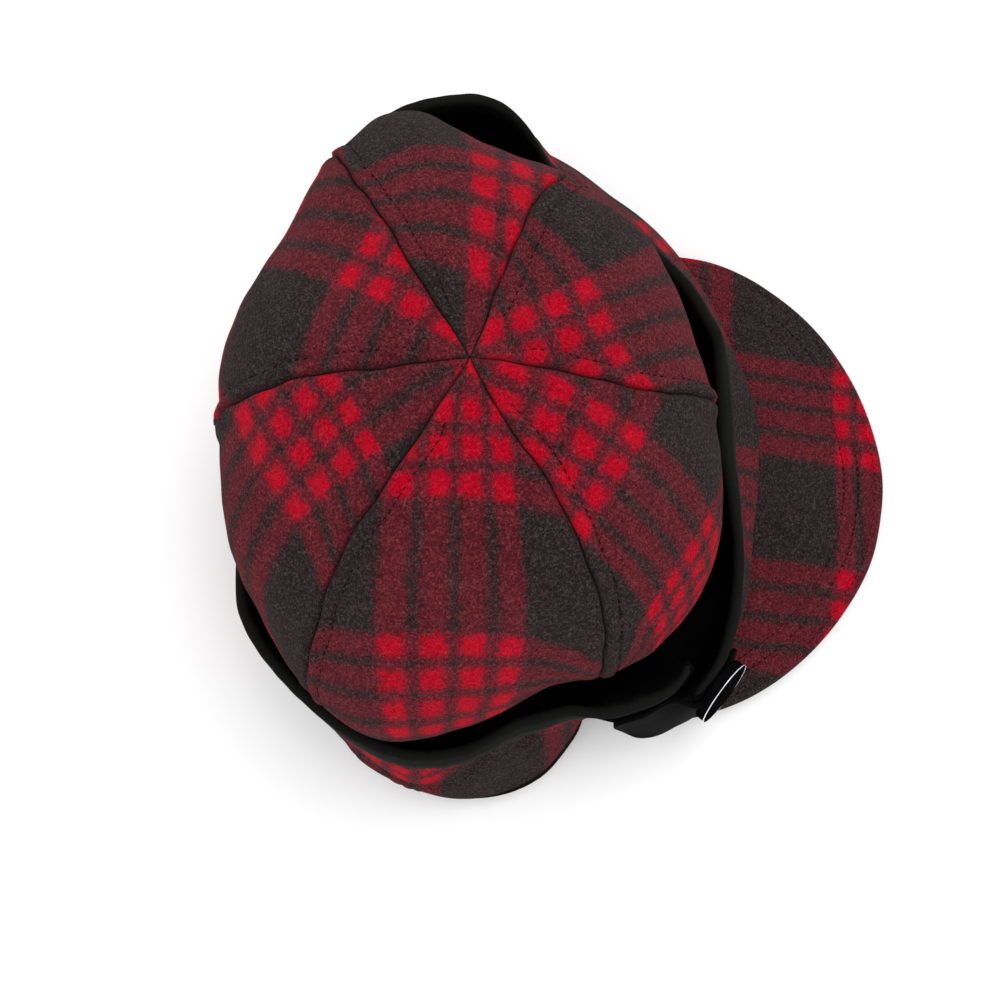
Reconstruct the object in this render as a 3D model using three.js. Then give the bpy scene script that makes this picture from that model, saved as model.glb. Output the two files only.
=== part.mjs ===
import * as THREE from "three";

// Sizes in millimetres. Angles in degrees, from the front of the cap towards the wearer's right.
// Forward is -Y, the wearer's left is +X, up is +Z.

const GAP = 0.3;
const WOOL_THICKNESS = 2;
const BAND_WOOL_THICKNESS = 1.8;
const BAND_LINING_THICKNESS = 1;

const CROWN_HEIGHT = 122;
const CROWN_TOP_BACK = 15;
const CROWN_TOP_LEFT = 4.5;
const CROWN_TIP_RADIUS = 0.8;
const CROWN_LAST_ROW = 1.995;
const PANEL_PUFF = 1.6;
const SEAM_RIDGE = 1.6;
const SEAM_RIDGE_WIDTH = 4;
const SEAM_BOW_SHIFT = 1.8;
const LOWER_ROWS = [0, 0.08, 0.25, 0.45, 0.65, 0.85];
const UPPER_ROWS = 9;
const PANEL_COLUMNS = [0, 0.05, 0.13, 0.26, 0.42, 0.58, 0.74, 0.87, 0.95, 1];

const PEAK_THICKNESS = 4;
const PEAK_ROOT_HEIGHT = 21;
const PEAK_SLOPE = 0.133;
const PEAK_SLOPE_START = 90;
const PEAK_ARCH_DROP = 16.8;
const PEAK_HALF_WIDTH = 104;
const PEAK_END_ANGLE = 70;
const SUPPORT_FADE_START = 78;
const SUPPORT_FADE_END = 108;
const PEAK_TUCK = 5;
const PEAK_TURN = 1.5;
const PEAK_COLUMNS = 24;
const PEAK_ROWS = 6;

const BAND_FLOOR = 0.4;
const FOOT_CLEARANCE = 0.9;
const LAP_START_ANGLE = 37;
const LAP_END_ANGLE = 43.5;
const LAP_SHIFT = 15;
const BAND_JOIN_GAP = 0.1;
const BINDING_HEIGHT = 9;
const BINDING_OVERHANG = 0.6;
const BINDING_CLEARANCE = 1.3;
const FOLD_FRACTION = 0.85;
const FOLD_RADIUS_LIMIT = 9;
const FOLD_STEPS = 3;
const WALL_STEPS = 4;

const TAB_THICKNESS = 2.2;
const TAB_ROWS = 16;
const TAB_COLUMNS = 5;

const SNAP_ANGLE = 42;
const SNAP_SPAN = 5;
const SNAP_LIFT = 0.1;
const SNAP_CAP_PROFILE = [[0, 0], [11.4, 0], [11.4, 2.4], [10.1, 3.7], [7.7, 4.6], [4.1, 5.2], [0, 5.4]];
const SNAP_RIM_PROFILE = [[11.7, 0], [13.2, 0.6], [13.5, 1.9], [13, 3.1], [12.1, 3.3], [11.7, 2.6]];

// Outline of the head ring and of the crown's widest line, the height of that line,
// and how soon the wall leaves the ring's outline for it (small is soon).
const CROWN_OUTLINE = [
  { angle: 0, ring: 87.5, shoulder: 69, shoulderHeight: 68, lean: 0.5 },
  { angle: 15, ring: 88.5, shoulder: 75, shoulderHeight: 64, lean: 0.55 },
  { angle: 30, ring: 90.5, shoulder: 83.5, shoulderHeight: 60, lean: 0.75 },
  { angle: 45, ring: 90.5, shoulder: 89, shoulderHeight: 58, lean: 1 },
  { angle: 60, ring: 90, shoulder: 91.5, shoulderHeight: 57, lean: 1 },
  { angle: 75, ring: 89, shoulder: 90, shoulderHeight: 57, lean: 1 },
  { angle: 90, ring: 89, shoulder: 103.5, shoulderHeight: 54, lean: 1 },
  { angle: 105, ring: 90, shoulder: 117.2, shoulderHeight: 51, lean: 1 },
  { angle: 120, ring: 91, shoulder: 115, shoulderHeight: 54, lean: 1 },
  { angle: 135, ring: 91.5, shoulder: 107.8, shoulderHeight: 58, lean: 1.1 },
  { angle: 150, ring: 92, shoulder: 103.6, shoulderHeight: 64, lean: 1.3 },
  { angle: 165, ring: 92.5, shoulder: 101, shoulderHeight: 66, lean: 1.4 },
  { angle: 180, ring: 92.5, shoulder: 102, shoulderHeight: 67, lean: 1.4 },
  { angle: 195, ring: 92.5, shoulder: 100.3, shoulderHeight: 68, lean: 1.4 },
  { angle: 210, ring: 92, shoulder: 101.5, shoulderHeight: 70, lean: 1.3 },
  { angle: 225, ring: 91.5, shoulder: 110.5, shoulderHeight: 71, lean: 1.1 },
  { angle: 240, ring: 91, shoulder: 115, shoulderHeight: 72, lean: 1 },
  { angle: 255, ring: 90, shoulder: 94.5, shoulderHeight: 72, lean: 1 },
  { angle: 270, ring: 89, shoulder: 87, shoulderHeight: 72, lean: 1 },
  { angle: 285, ring: 88.5, shoulder: 79.8, shoulderHeight: 72, lean: 0.8 },
  { angle: 300, ring: 88.5, shoulder: 73.4, shoulderHeight: 72, lean: 0.65 },
  { angle: 315, ring: 88, shoulder: 68.4, shoulderHeight: 70, lean: 0.5 },
  { angle: 330, ring: 87.5, shoulder: 65.3, shoulderHeight: 70, lean: 0.45 },
  { angle: 345, ring: 87.5, shoulder: 66.8, shoulderHeight: 69, lean: 0.45 },
];

// Seams of the six panels: angle at the head ring and at the widest line, and bow from there to the top.
const SEAMS = [
  { ring: -7, shoulder: -13, bow: 7 },
  { ring: 60, shoulder: 63, bow: -9 },
  { ring: 118, shoulder: 117.5, bow: 6 },
  { ring: 174, shoulder: 169.5, bow: 2 },
  { ring: 234, shoulder: 226, bow: 0 },
  { ring: 288, shoulder: 275, bow: -5 },
];

const PANEL_NAMES = ["front_right", "side_right", "back_right", "back_left", "side_left", "front_left"];

// Plan of the peak's free edge, the same on both sides.
const PEAK_EDGE = [
  { angle: 0, radius: 150.6 },
  { angle: 6, radius: 150.4 },
  { angle: 15, radius: 147.2 },
  { angle: 25, radius: 142.4 },
  { angle: 35, radius: 136.3 },
  { angle: 44, radius: 129 },
  { angle: 56, radius: 118.5 },
  { angle: 62, radius: 111 },
  { angle: 66, radius: 106.5 },
  { angle: 70, radius: 102.5 },
];

// Turned-up ear band: lower fold, crease and bound top edge of its outer face.
const EAR_BAND = [
  { angle: 44.5, fold: 103, crease: 106, creaseHeight: 34, top: 104.8, topHeight: 54 },
  { angle: 50, fold: 103, crease: 107, creaseHeight: 34, top: 108, topHeight: 54 },
  { angle: 58, fold: 102, crease: 106, creaseHeight: 34, top: 107.3, topHeight: 55 },
  { angle: 64, fold: 103, crease: 105, creaseHeight: 34, top: 105.8, topHeight: 55 },
  { angle: 70, fold: 115.5, crease: 108, creaseHeight: 32, top: 101.8, topHeight: 54 },
  { angle: 75, fold: 125.5, crease: 112, creaseHeight: 33, top: 102.1, topHeight: 53 },
  { angle: 81, fold: 132.5, crease: 114, creaseHeight: 36, top: 104.3, topHeight: 52 },
  { angle: 90, fold: 138, crease: 123.5, creaseHeight: 36, top: 114.5, topHeight: 50 },
  { angle: 98, fold: 138, crease: 128.5, creaseHeight: 36, top: 120.3, topHeight: 50 },
  { angle: 108, fold: 134, crease: 126.5, creaseHeight: 38, top: 122.1, topHeight: 50 },
  { angle: 117, fold: 129, crease: 124, creaseHeight: 36, top: 121.4, topHeight: 50 },
  { angle: 125, fold: 124.5, crease: 122, creaseHeight: 34, top: 120.6, topHeight: 50 },
  { angle: 132, fold: 120, crease: 119.5, creaseHeight: 33, top: 119.7, topHeight: 50 },
  { angle: 137, fold: 116, crease: 117, creaseHeight: 32, top: 118.1, topHeight: 50 },
  { angle: 148, fold: 107.5, crease: 108.5, creaseHeight: 31, top: 109, topHeight: 49 },
  { angle: 156, fold: 104, crease: 104.5, creaseHeight: 30, top: 105.8, topHeight: 47.5 },
  { angle: 168, fold: 102.5, crease: 103, creaseHeight: 30, top: 105.3, topHeight: 45.8 },
  { angle: 182, fold: 102.5, crease: 103, creaseHeight: 30, top: 105.8, topHeight: 45.2 },
  { angle: 198, fold: 102.5, crease: 103.5, creaseHeight: 31, top: 105.8, topHeight: 46 },
  { angle: 212, fold: 105, crease: 106.5, creaseHeight: 32, top: 108, topHeight: 49 },
  { angle: 225, fold: 117, crease: 118, creaseHeight: 34, top: 118.5, topHeight: 54 },
  { angle: 233, fold: 126, crease: 126, creaseHeight: 35, top: 126, topHeight: 55 },
  { angle: 240, fold: 134, crease: 132.5, creaseHeight: 36, top: 131, topHeight: 56 },
  { angle: 250, fold: 139, crease: 135.5, creaseHeight: 36, top: 131.6, topHeight: 56 },
  { angle: 256, fold: 138.5, crease: 134, creaseHeight: 36, top: 129.6, topHeight: 56 },
  { angle: 260.5, fold: 136, crease: 130, creaseHeight: 36, top: 123.5, topHeight: 56 },
  { angle: 264.5, fold: 135, crease: 125, creaseHeight: 35, top: 114, topHeight: 55 },
  { angle: 268.5, fold: 131.5, crease: 117.5, creaseHeight: 34, top: 103.5, topHeight: 53 },
  { angle: 273, fold: 127.5, crease: 112.5, creaseHeight: 34, top: 98, topHeight: 51 },
  { angle: 280, fold: 121, crease: 107, creaseHeight: 33, top: 93.5, topHeight: 49 },
  { angle: 290, fold: 114, crease: 102, creaseHeight: 33, top: 90.5, topHeight: 48 },
  { angle: 302, fold: 105.8, crease: 96.5, creaseHeight: 33, top: 88, topHeight: 48 },
];

// Front length of the band, above the peak; its right end laps over the ear band.
const FRONT_BAND = [
  { angle: -58, fold: 105.8, crease: 96.5, creaseHeight: 33, top: 88, topHeight: 48 },
  { angle: -50, fold: 101.5, crease: 94.5, creaseHeight: 33, top: 87.5, topHeight: 48 },
  { angle: -42, fold: 98.5, crease: 92.5, creaseHeight: 34, top: 86, topHeight: 48 },
  { angle: -36, fold: 96.7, crease: 91, creaseHeight: 34, top: 86, topHeight: 47 },
  { angle: -29, fold: 95.8, crease: 89, creaseHeight: 34, top: 82.6, topHeight: 46 },
  { angle: -16, fold: 96.3, crease: 87, creaseHeight: 34, top: 78.2, topHeight: 46 },
  { angle: -4, fold: 95.6, crease: 86.5, creaseHeight: 34, top: 78.3, topHeight: 46 },
  { angle: 5, fold: 96.6, crease: 89, creaseHeight: 34, top: 82.6, topHeight: 46 },
  { angle: 12, fold: 98.2, crease: 92.2, creaseHeight: 34, top: 87.4, topHeight: 46 },
  { angle: 18, fold: 101.4, crease: 96.5, creaseHeight: 34, top: 92.6, topHeight: 46 },
  { angle: 25, fold: 107.1, crease: 102.5, creaseHeight: 33, top: 98.6, topHeight: 46 },
  { angle: 32, fold: 111.6, crease: 108.6, creaseHeight: 33, top: 105.4, topHeight: 46 },
  { angle: 40, fold: 116.5, crease: 115, creaseHeight: 33, top: 112, topHeight: 46 },
  { angle: 47, fold: 119, crease: 118, creaseHeight: 33, top: 115, topHeight: 46 },
];

// Closing tab, along the end of the front band and back over the ear band:
// three points across it, and the share of its width.
const TAB = [
  { angle: 34.6, low: 117, lowZ: 18, mid: 114.6, midZ: 33, high: 112.9, highZ: 40, width: 0.35 },
  { angle: 35.6, low: 117.6, lowZ: 18, mid: 115.3, midZ: 33, high: 113.6, highZ: 40, width: 0.72 },
  { angle: 37.5, low: 118.6, lowZ: 17, mid: 116.8, midZ: 33, high: 115.2, highZ: 40, width: 0.96 },
  { angle: 40, low: 119.8, lowZ: 17, mid: 118.4, midZ: 33, high: 117.1, highZ: 41, width: 1 },
  { angle: 44, low: 121, lowZ: 17, mid: 120, midZ: 33, high: 119.1, highZ: 42, width: 1 },
  { angle: 47.3, low: 121.9, lowZ: 17, mid: 121, midZ: 33, high: 120, highZ: 43, width: 1 },
  { angle: 51, low: 122.3, lowZ: 18, mid: 119.3, midZ: 34, high: 114.4, highZ: 48, width: 1 },
  { angle: 55, low: 121.8, lowZ: 20, mid: 117.4, midZ: 35, high: 112, highZ: 50, width: 1 },
  { angle: 58.5, low: 119.8, lowZ: 22, mid: 115.4, midZ: 36, high: 111.2, highZ: 50, width: 0.92 },
  { angle: 61, low: 117, lowZ: 23, mid: 113.4, midZ: 36, high: 110.4, highZ: 50, width: 0.66 },
  { angle: 62.4, low: 115.6, lowZ: 23, mid: 112.5, midZ: 36, high: 110.2, highZ: 50, width: 0.3 },
];

// Thin hem along the lower fold of the right ear flap.
const HEM = { startAngle: 67, endAngle: 112, width: 1.6, thickness: 1.2 };

const EAR_STEPS = 52;
const FRONT_STEPS = 22;

function radians(degrees) {
  return (degrees * Math.PI) / 180;
}

function polar(angle, radius, height) {
  return new THREE.Vector3(-radius * Math.sin(radians(angle)), -radius * Math.cos(radians(angle)), height);
}

function tableSlope(rows, index, column, period) {
  const before = rows[(index - 1 + rows.length) % rows.length];
  const here = rows[index];
  const after = rows[(index + 1) % rows.length];
  const first = index === 0;
  const last = index === rows.length - 1;
  if (!period && (first || last)) {
    const other = first ? after : before;
    return (other[column] - here[column]) / (other.angle - here.angle);
  }
  const stepBefore = here.angle - before.angle + (first ? period : 0);
  const stepAfter = after.angle - here.angle + (last ? period : 0);
  const slopeBefore = (here[column] - before[column]) / stepBefore;
  const slopeAfter = (after[column] - here[column]) / stepAfter;
  return (slopeBefore * stepAfter + slopeAfter * stepBefore) / (stepBefore + stepAfter);
}

// Smooth curve through one column of a table of angles.
function readTable(rows, column, angle, period) {
  const start = rows[0].angle;
  const wrapped = period ? start + ((((angle - start) % period) + period) % period) : angle;
  let index = rows.length - 1;
  while (index > 0 && rows[index].angle > wrapped) {
    index -= 1;
  }
  if (!period) {
    index = Math.min(index, rows.length - 2);
  }
  const next = (index + 1) % rows.length;
  const span = next === 0 ? start + period - rows[index].angle : rows[next].angle - rows[index].angle;
  const t = Math.min(1, Math.max(0, (wrapped - rows[index].angle) / span));
  const slopeHere = tableSlope(rows, index, column, period) * span;
  const slopeNext = tableSlope(rows, next, column, period) * span;
  const square = t * t;
  const cube = square * t;
  return (
    (2 * cube - 3 * square + 1) * rows[index][column] +
    (cube - 2 * square + t) * slopeHere +
    (3 * square - 2 * cube) * rows[next][column] +
    (cube - square) * slopeNext
  );
}

function angleOf(x, y) {
  return (Math.atan2(-x, -y) * 180) / Math.PI;
}

// Height of the peak's upper face.
function peakTop(x, y) {
  const forward = Math.max(0, -y - PEAK_SLOPE_START);
  return PEAK_ROOT_HEIGHT - PEAK_SLOPE * forward - PEAK_ARCH_DROP * (x / PEAK_HALF_WIDTH) ** 2;
}

// Height that the crown and the band stand on: the peak's root in front, the floor behind it.
function supportHeight(x, y) {
  const angle = Math.abs(angleOf(x, y));
  const behind = (angle - SUPPORT_FADE_START) / (SUPPORT_FADE_END - SUPPORT_FADE_START);
  const fade = Math.min(1, Math.max(0, behind));
  return (peakTop(x, y) + GAP) * (1 - fade) ** 2;
}

function standOn(point, lift) {
  point.z = Math.max(point.z, supportHeight(point.x, point.y) + lift);
  return point;
}

// Normals of a grid of points, by differences between neighbours.
function gridNormals(grid) {
  return grid.map((row, i) =>
    row.map((point, j) => {
      const along = new THREE.Vector3().subVectors(
        grid[Math.min(i + 1, grid.length - 1)][j],
        grid[Math.max(i - 1, 0)][j],
      );
      const across = new THREE.Vector3().subVectors(
        row[Math.min(j + 1, row.length - 1)],
        row[Math.max(j - 1, 0)],
      );
      return new THREE.Vector3().crossVectors(along, across).normalize();
    }),
  );
}

function offsetGrid(grid, distance) {
  const normals = gridNormals(grid);
  return grid.map((row, i) => row.map((point, j) => point.clone().addScaledVector(normals[i][j], -distance)));
}

// One closed solid between an outer and an inner grid of the same size.
function solidFromGrids(outer, inner) {
  const rows = outer.length;
  const columns = outer[0].length;
  const positions = [...outer.flat(), ...inner.flat()].flatMap((point) => [point.x, point.y, point.z]);
  const outerIndex = (i, j) => i * columns + j;
  const innerIndex = (i, j) => rows * columns + i * columns + j;
  const faces = [];
  const quad = (a, b, c, d) => faces.push(a, b, c, a, c, d);
  for (let i = 0; i < rows - 1; i += 1) {
    for (let j = 0; j < columns - 1; j += 1) {
      quad(outerIndex(i, j), outerIndex(i + 1, j), outerIndex(i + 1, j + 1), outerIndex(i, j + 1));
      quad(innerIndex(i, j), innerIndex(i, j + 1), innerIndex(i + 1, j + 1), innerIndex(i + 1, j));
    }
  }
  for (let j = 0; j < columns - 1; j += 1) {
    const last = rows - 1;
    quad(outerIndex(0, j), outerIndex(0, j + 1), innerIndex(0, j + 1), innerIndex(0, j));
    quad(outerIndex(last, j + 1), outerIndex(last, j), innerIndex(last, j), innerIndex(last, j + 1));
  }
  for (let i = 0; i < rows - 1; i += 1) {
    quad(outerIndex(i + 1, 0), outerIndex(i, 0), innerIndex(i, 0), innerIndex(i + 1, 0));
    quad(
      outerIndex(i, columns - 1),
      outerIndex(i + 1, columns - 1),
      innerIndex(i + 1, columns - 1),
      innerIndex(i, columns - 1),
    );
  }
  const geometry = new THREE.BufferGeometry();
  geometry.setAttribute("position", new THREE.Float32BufferAttribute(positions, 3));
  geometry.setIndex(faces);
  geometry.computeVertexNormals();
  return geometry;
}

// One closed solid swept through rings of points, with flat ends.
function solidFromRings(rings) {
  const count = rings[0].length;
  const positions = rings.flat().flatMap((point) => [point.x, point.y, point.z]);
  const faces = [];
  for (let i = 0; i < rings.length - 1; i += 1) {
    for (let j = 0; j < count; j += 1) {
      const next = (j + 1) % count;
      const a = i * count + j;
      const b = i * count + next;
      const c = (i + 1) * count + next;
      const d = (i + 1) * count + j;
      faces.push(a, b, c, a, c, d);
    }
  }
  const last = (rings.length - 1) * count;
  for (let j = 1; j < count - 1; j += 1) {
    faces.push(0, j + 1, j);
    faces.push(last, last + j, last + j + 1);
  }
  const geometry = new THREE.BufferGeometry();
  geometry.setAttribute("position", new THREE.Float32BufferAttribute(positions, 3));
  geometry.setIndex(faces);
  geometry.computeVertexNormals();
  return geometry;
}

// Smooth crown without its seams: row 0 at the ring, 1 at the widest line, 2 at the top.
function crownSurface(row, angle) {
  const climb = Math.max(0, row - 1);
  const lean = readTable(CROWN_OUTLINE, "lean", angle, 360);
  const swing = (1 - Math.cos(Math.PI * Math.min(1, row) ** lean)) / 2;
  const keep = climb > 0 ? Math.cos((Math.PI / 2) * climb) : 1;
  const ring = readTable(CROWN_OUTLINE, "ring", angle, 360);
  const shoulder = readTable(CROWN_OUTLINE, "shoulder", angle, 360);
  const shoulderHeight = readTable(CROWN_OUTLINE, "shoulderHeight", angle, 360);
  const reach = Math.max(CROWN_TIP_RADIUS, (ring + (shoulder - ring) * swing) * keep);
  const point = polar(angle, reach, 0);
  const base = Math.max(0, supportHeight(point.x, point.y));
  point.x += CROWN_TOP_LEFT * (1 - keep);
  point.y += CROWN_TOP_BACK * (1 - keep);
  point.z =
    row <= 1
      ? base + (shoulderHeight - base) * row
      : shoulderHeight + (CROWN_HEIGHT - shoulderHeight) * Math.sin((Math.PI / 2) * climb);
  return { point, reach };
}

function crownNormal(row, angle) {
  const along = new THREE.Vector3().subVectors(
    crownSurface(Math.min(CROWN_LAST_ROW, row + 0.02), angle).point,
    crownSurface(Math.max(0, row - 0.02), angle).point,
  );
  const across = new THREE.Vector3().subVectors(
    crownSurface(row, angle + 1).point,
    crownSurface(row, angle - 1).point,
  );
  return new THREE.Vector3().crossVectors(along, across).normalize();
}

// Point of a panel: raised beside its seams, puffed between them, and moved inwards by the given depth.
function panelPoint(row, seamA, seamB, fraction, depth) {
  const climb = Math.max(0, row - 1);
  const swing = (1 - Math.cos(Math.PI * Math.min(1, row))) / 2;
  const bow = Math.sin(Math.PI * climb ** SEAM_BOW_SHIFT);
  const start = seamA.ring + (seamA.shoulder - seamA.ring) * swing + seamA.bow * bow;
  const end = seamB.ring + (seamB.shoulder - seamB.ring) * swing + seamB.bow * bow;
  const middle = start + (end - start) * fraction;
  const { reach } = crownSurface(row, middle);
  const gapAngle = (Math.asin(GAP / 2 / reach) * 180) / Math.PI;
  const angle = start + gapAngle + (end - start - 2 * gapAngle) * fraction;
  const edge = Math.min(fraction, 1 - fraction) * radians(end - start) * reach;
  const keep = climb > 0 ? Math.cos((Math.PI / 2) * climb) : 1;
  const ridge = SEAM_RIDGE * Math.exp(-((edge / SEAM_RIDGE_WIDTH) ** 2)) * swing * keep ** 2;
  const fullness = Math.sin(Math.PI * Math.min(1, 0.35 + 0.65 * climb)) * swing;
  const puff = PANEL_PUFF * Math.sin(Math.PI * fraction) * fullness;
  const { point } = crownSurface(row, angle);
  return point.addScaledVector(crownNormal(row, angle), ridge + puff - depth);
}

function crownPanel(index) {
  const seamA = SEAMS[index];
  const after = SEAMS[(index + 1) % SEAMS.length];
  const turn = index === SEAMS.length - 1 ? 360 : 0;
  const seamB = { ring: after.ring + turn, shoulder: after.shoulder + turn, bow: after.bow };
  const rows = [...LOWER_ROWS];
  for (let i = 0; i < UPPER_ROWS; i += 1) {
    rows.push(1 + ((CROWN_LAST_ROW - 1) * i) / (UPPER_ROWS - 1));
  }
  const face = (depth) =>
    rows.map((row) => PANEL_COLUMNS.map((fraction) => panelPoint(row, seamA, seamB, fraction, depth)));
  const outer = face(0);
  const inner = face(WOOL_THICKNESS);
  inner[0] = outer[0].map((point) => {
    const plan = Math.hypot(point.x, point.y);
    const shrink = (plan - WOOL_THICKNESS) / plan;
    const foot = new THREE.Vector3(point.x * shrink, point.y * shrink, 0);
    foot.z = Math.max(0, supportHeight(foot.x, foot.y));
    return foot;
  });
  return solidFromGrids(outer, inner);
}

// Outward shift of the front band's foot where it passes outside the ear band.
function lapShift(rows, angle) {
  if (rows !== FRONT_BAND) {
    return 0;
  }
  const t = Math.min(1, Math.max(0, (angle - LAP_START_ANGLE) / (LAP_END_ANGLE - LAP_START_ANGLE)));
  return LAP_SHIFT * t * t * (3 - 2 * t);
}

// Points across the band at one angle, from the foot at the head ring to just under the binding.
function bandSection(rows, angle) {
  const fold = readTable(rows, "fold", angle);
  const crease = new THREE.Vector2(readTable(rows, "crease", angle), readTable(rows, "creaseHeight", angle));
  const top = new THREE.Vector2(readTable(rows, "top", angle), readTable(rows, "topHeight", angle));
  const foot = readTable(CROWN_OUTLINE, "ring", angle, 360) + FOOT_CLEARANCE + lapShift(rows, angle);
  const bend = Math.min(FOLD_RADIUS_LIMIT, (fold - foot) * FOLD_FRACTION);
  const floorPoint = polar(angle, fold, 0);
  const floor = Math.max(0, supportHeight(floorPoint.x, floorPoint.y)) + BAND_FLOOR;
  const section = [new THREE.Vector2(foot, floor)];
  for (let i = 0; i <= FOLD_STEPS; i += 1) {
    const turn = (Math.PI / 2) * (i / FOLD_STEPS);
    section.push(new THREE.Vector2(fold - bend + bend * Math.sin(turn), floor + bend * (1 - Math.cos(turn))));
  }
  const rise = new THREE.Vector2().subVectors(top, crease).normalize();
  const end = top.clone().addScaledVector(rise, -(BINDING_HEIGHT + BINDING_CLEARANCE));
  const start = section[section.length - 1];
  const wall = new THREE.SplineCurve([start, crease.clone().lerp(end, 0.001), end]);
  for (let i = 1; i <= WALL_STEPS; i += 1) {
    section.push(wall.getPoint(i / WALL_STEPS));
  }
  return { section, rise, top, fold, bend, floor };
}

function bandAngles(rows, steps) {
  const first = rows[0].angle + BAND_JOIN_GAP;
  const last = rows[rows.length - 1].angle - BAND_JOIN_GAP;
  return Array.from({ length: steps + 1 }, (unused, i) => first + ((last - first) * i) / steps);
}

function transpose(grid) {
  return grid[0].map((unused, j) => grid.map((row) => row[j]));
}

function bandGrid(rows, steps) {
  const sections = bandAngles(rows, steps).map((angle) =>
    bandSection(rows, angle).section.map((point) => standOn(polar(angle, point.x, point.y), BAND_FLOOR)),
  );
  return transpose(sections);
}

function bandWool(rows, steps) {
  const outer = bandGrid(rows, steps);
  return solidFromGrids(outer, offsetGrid(outer, BAND_WOOL_THICKNESS));
}

function bandLining(rows, steps) {
  const outer = bandGrid(rows, steps);
  const start = BAND_WOOL_THICKNESS + GAP;
  return solidFromGrids(offsetGrid(outer, start), offsetGrid(outer, start + BAND_LINING_THICKNESS));
}

function bandBinding(rows, steps) {
  const depth = BAND_WOOL_THICKNESS + GAP + BAND_LINING_THICKNESS + BINDING_OVERHANG;
  const profile = [
    [-BINDING_OVERHANG, -BINDING_HEIGHT],
    [-BINDING_OVERHANG, -2],
    [0.3, -0.5],
    [1.5, 0],
    [2.8, -0.5],
    [depth, -2],
    [depth, -BINDING_HEIGHT],
  ];
  const rings = bandAngles(rows, steps).map((angle) => {
    const { rise, top } = bandSection(rows, angle);
    return profile.map(([inward, up]) => {
      const radius = top.x + rise.x * up - rise.y * inward;
      const height = top.y + rise.y * up + rise.x * inward;
      return polar(angle, radius, height);
    });
  });
  return solidFromRings(rings);
}

function peakGeometry() {
  const mirrored = PEAK_EDGE.slice(1).map((row) => ({ angle: -row.angle, radius: row.radius }));
  const edgeRows = [...mirrored.reverse(), ...PEAK_EDGE];
  const upper = [];
  for (let i = 0; i <= PEAK_COLUMNS; i += 1) {
    const angle = -PEAK_END_ANGLE + (2 * PEAK_END_ANGLE * i) / PEAK_COLUMNS;
    const root = readTable(CROWN_OUTLINE, "ring", angle, 360) - PEAK_TUCK;
    const edge = readTable(edgeRows, "radius", angle - PEAK_TURN);
    const row = [];
    for (let j = 0; j <= PEAK_ROWS; j += 1) {
      const point = polar(angle, root + ((edge - root) * j) / PEAK_ROWS, 0);
      point.z = peakTop(point.x, point.y);
      row.push(point);
    }
    upper.push(row);
  }
  const under = (point) => new THREE.Vector3(point.x, point.y, point.z - PEAK_THICKNESS);
  const lower = upper.map((row) => row.map(under));
  return solidFromGrids(upper, lower);
}

// Point across the tab, 0 at its lower edge and 1 at its upper edge, as radius and height.
function tabPoint(angle, across) {
  const low = 2 * (across - 0.5) * (across - 1);
  const mid = -4 * across * (across - 1);
  const high = 2 * across * (across - 0.5);
  const read = (column) => readTable(TAB, column, angle);
  return {
    radius: low * read("low") + mid * read("mid") + high * read("high"),
    height: low * read("lowZ") + mid * read("midZ") + high * read("highZ"),
  };
}

function tabGeometry() {
  const outer = [];
  const first = TAB[0].angle;
  const last = TAB[TAB.length - 1].angle;
  for (let i = 0; i <= TAB_ROWS; i += 1) {
    const angle = first + ((last - first) * i) / TAB_ROWS;
    const width = readTable(TAB, "width", angle);
    const row = [];
    for (let j = 0; j <= TAB_COLUMNS; j += 1) {
      const { radius, height } = tabPoint(angle, 0.5 + (j / TAB_COLUMNS - 0.5) * width);
      row.push(polar(angle, radius, height));
    }
    outer.push(row);
  }
  const face = transpose(outer);
  return solidFromGrids(face, offsetGrid(face, TAB_THICKNESS));
}

// Thin strip lying against the outside of the fold.
function hemGeometry() {
  const inHem = (angle) => angle > HEM.startAngle && angle < HEM.endAngle;
  const angles = bandAngles(EAR_BAND, EAR_STEPS).filter(inHem);
  const rings = angles.map((angle) => {
    const { fold, bend, floor } = bandSection(EAR_BAND, angle);
    const inner = fold + GAP;
    const height = floor + bend;
    return [
      polar(angle, inner, height - HEM.width),
      polar(angle, inner + HEM.thickness, height - HEM.width),
      polar(angle, inner + HEM.thickness, height + HEM.width),
      polar(angle, inner, height + HEM.width),
    ];
  });
  return solidFromRings(rings);
}

function latheSolid(profile, segments) {
  const points = profile.map(([radius, height]) => new THREE.Vector3(radius, height, 0));
  const onAxis = profile[0][0] === 0;
  const positions = [];
  const faces = [];
  const inner = onAxis ? points.slice(1, -1) : points;
  for (let i = 0; i < segments; i += 1) {
    const turn = (2 * Math.PI * i) / segments;
    inner.forEach((point) => positions.push(point.x * Math.cos(turn), point.x * Math.sin(turn), point.y));
  }
  const count = inner.length;
  const loops = onAxis ? count - 1 : count;
  for (let i = 0; i < segments; i += 1) {
    const next = (i + 1) % segments;
    for (let j = 0; j < loops; j += 1) {
      const k = (j + 1) % count;
      const a = i * count + j;
      const b = next * count + j;
      const c = next * count + k;
      const d = i * count + k;
      faces.push(a, b, c, a, c, d);
    }
  }
  if (onAxis) {
    const low = positions.length / 3;
    positions.push(0, 0, profile[0][1]);
    positions.push(0, 0, profile[profile.length - 1][1]);
    for (let i = 0; i < segments; i += 1) {
      const next = (i + 1) % segments;
      faces.push(low, next * count, i * count);
      faces.push(low + 1, i * count + count - 1, next * count + count - 1);
    }
  }
  const geometry = new THREE.BufferGeometry();
  geometry.setAttribute("position", new THREE.Float32BufferAttribute(positions, 3));
  geometry.setIndex(faces);
  geometry.computeVertexNormals();
  return geometry;
}

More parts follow.
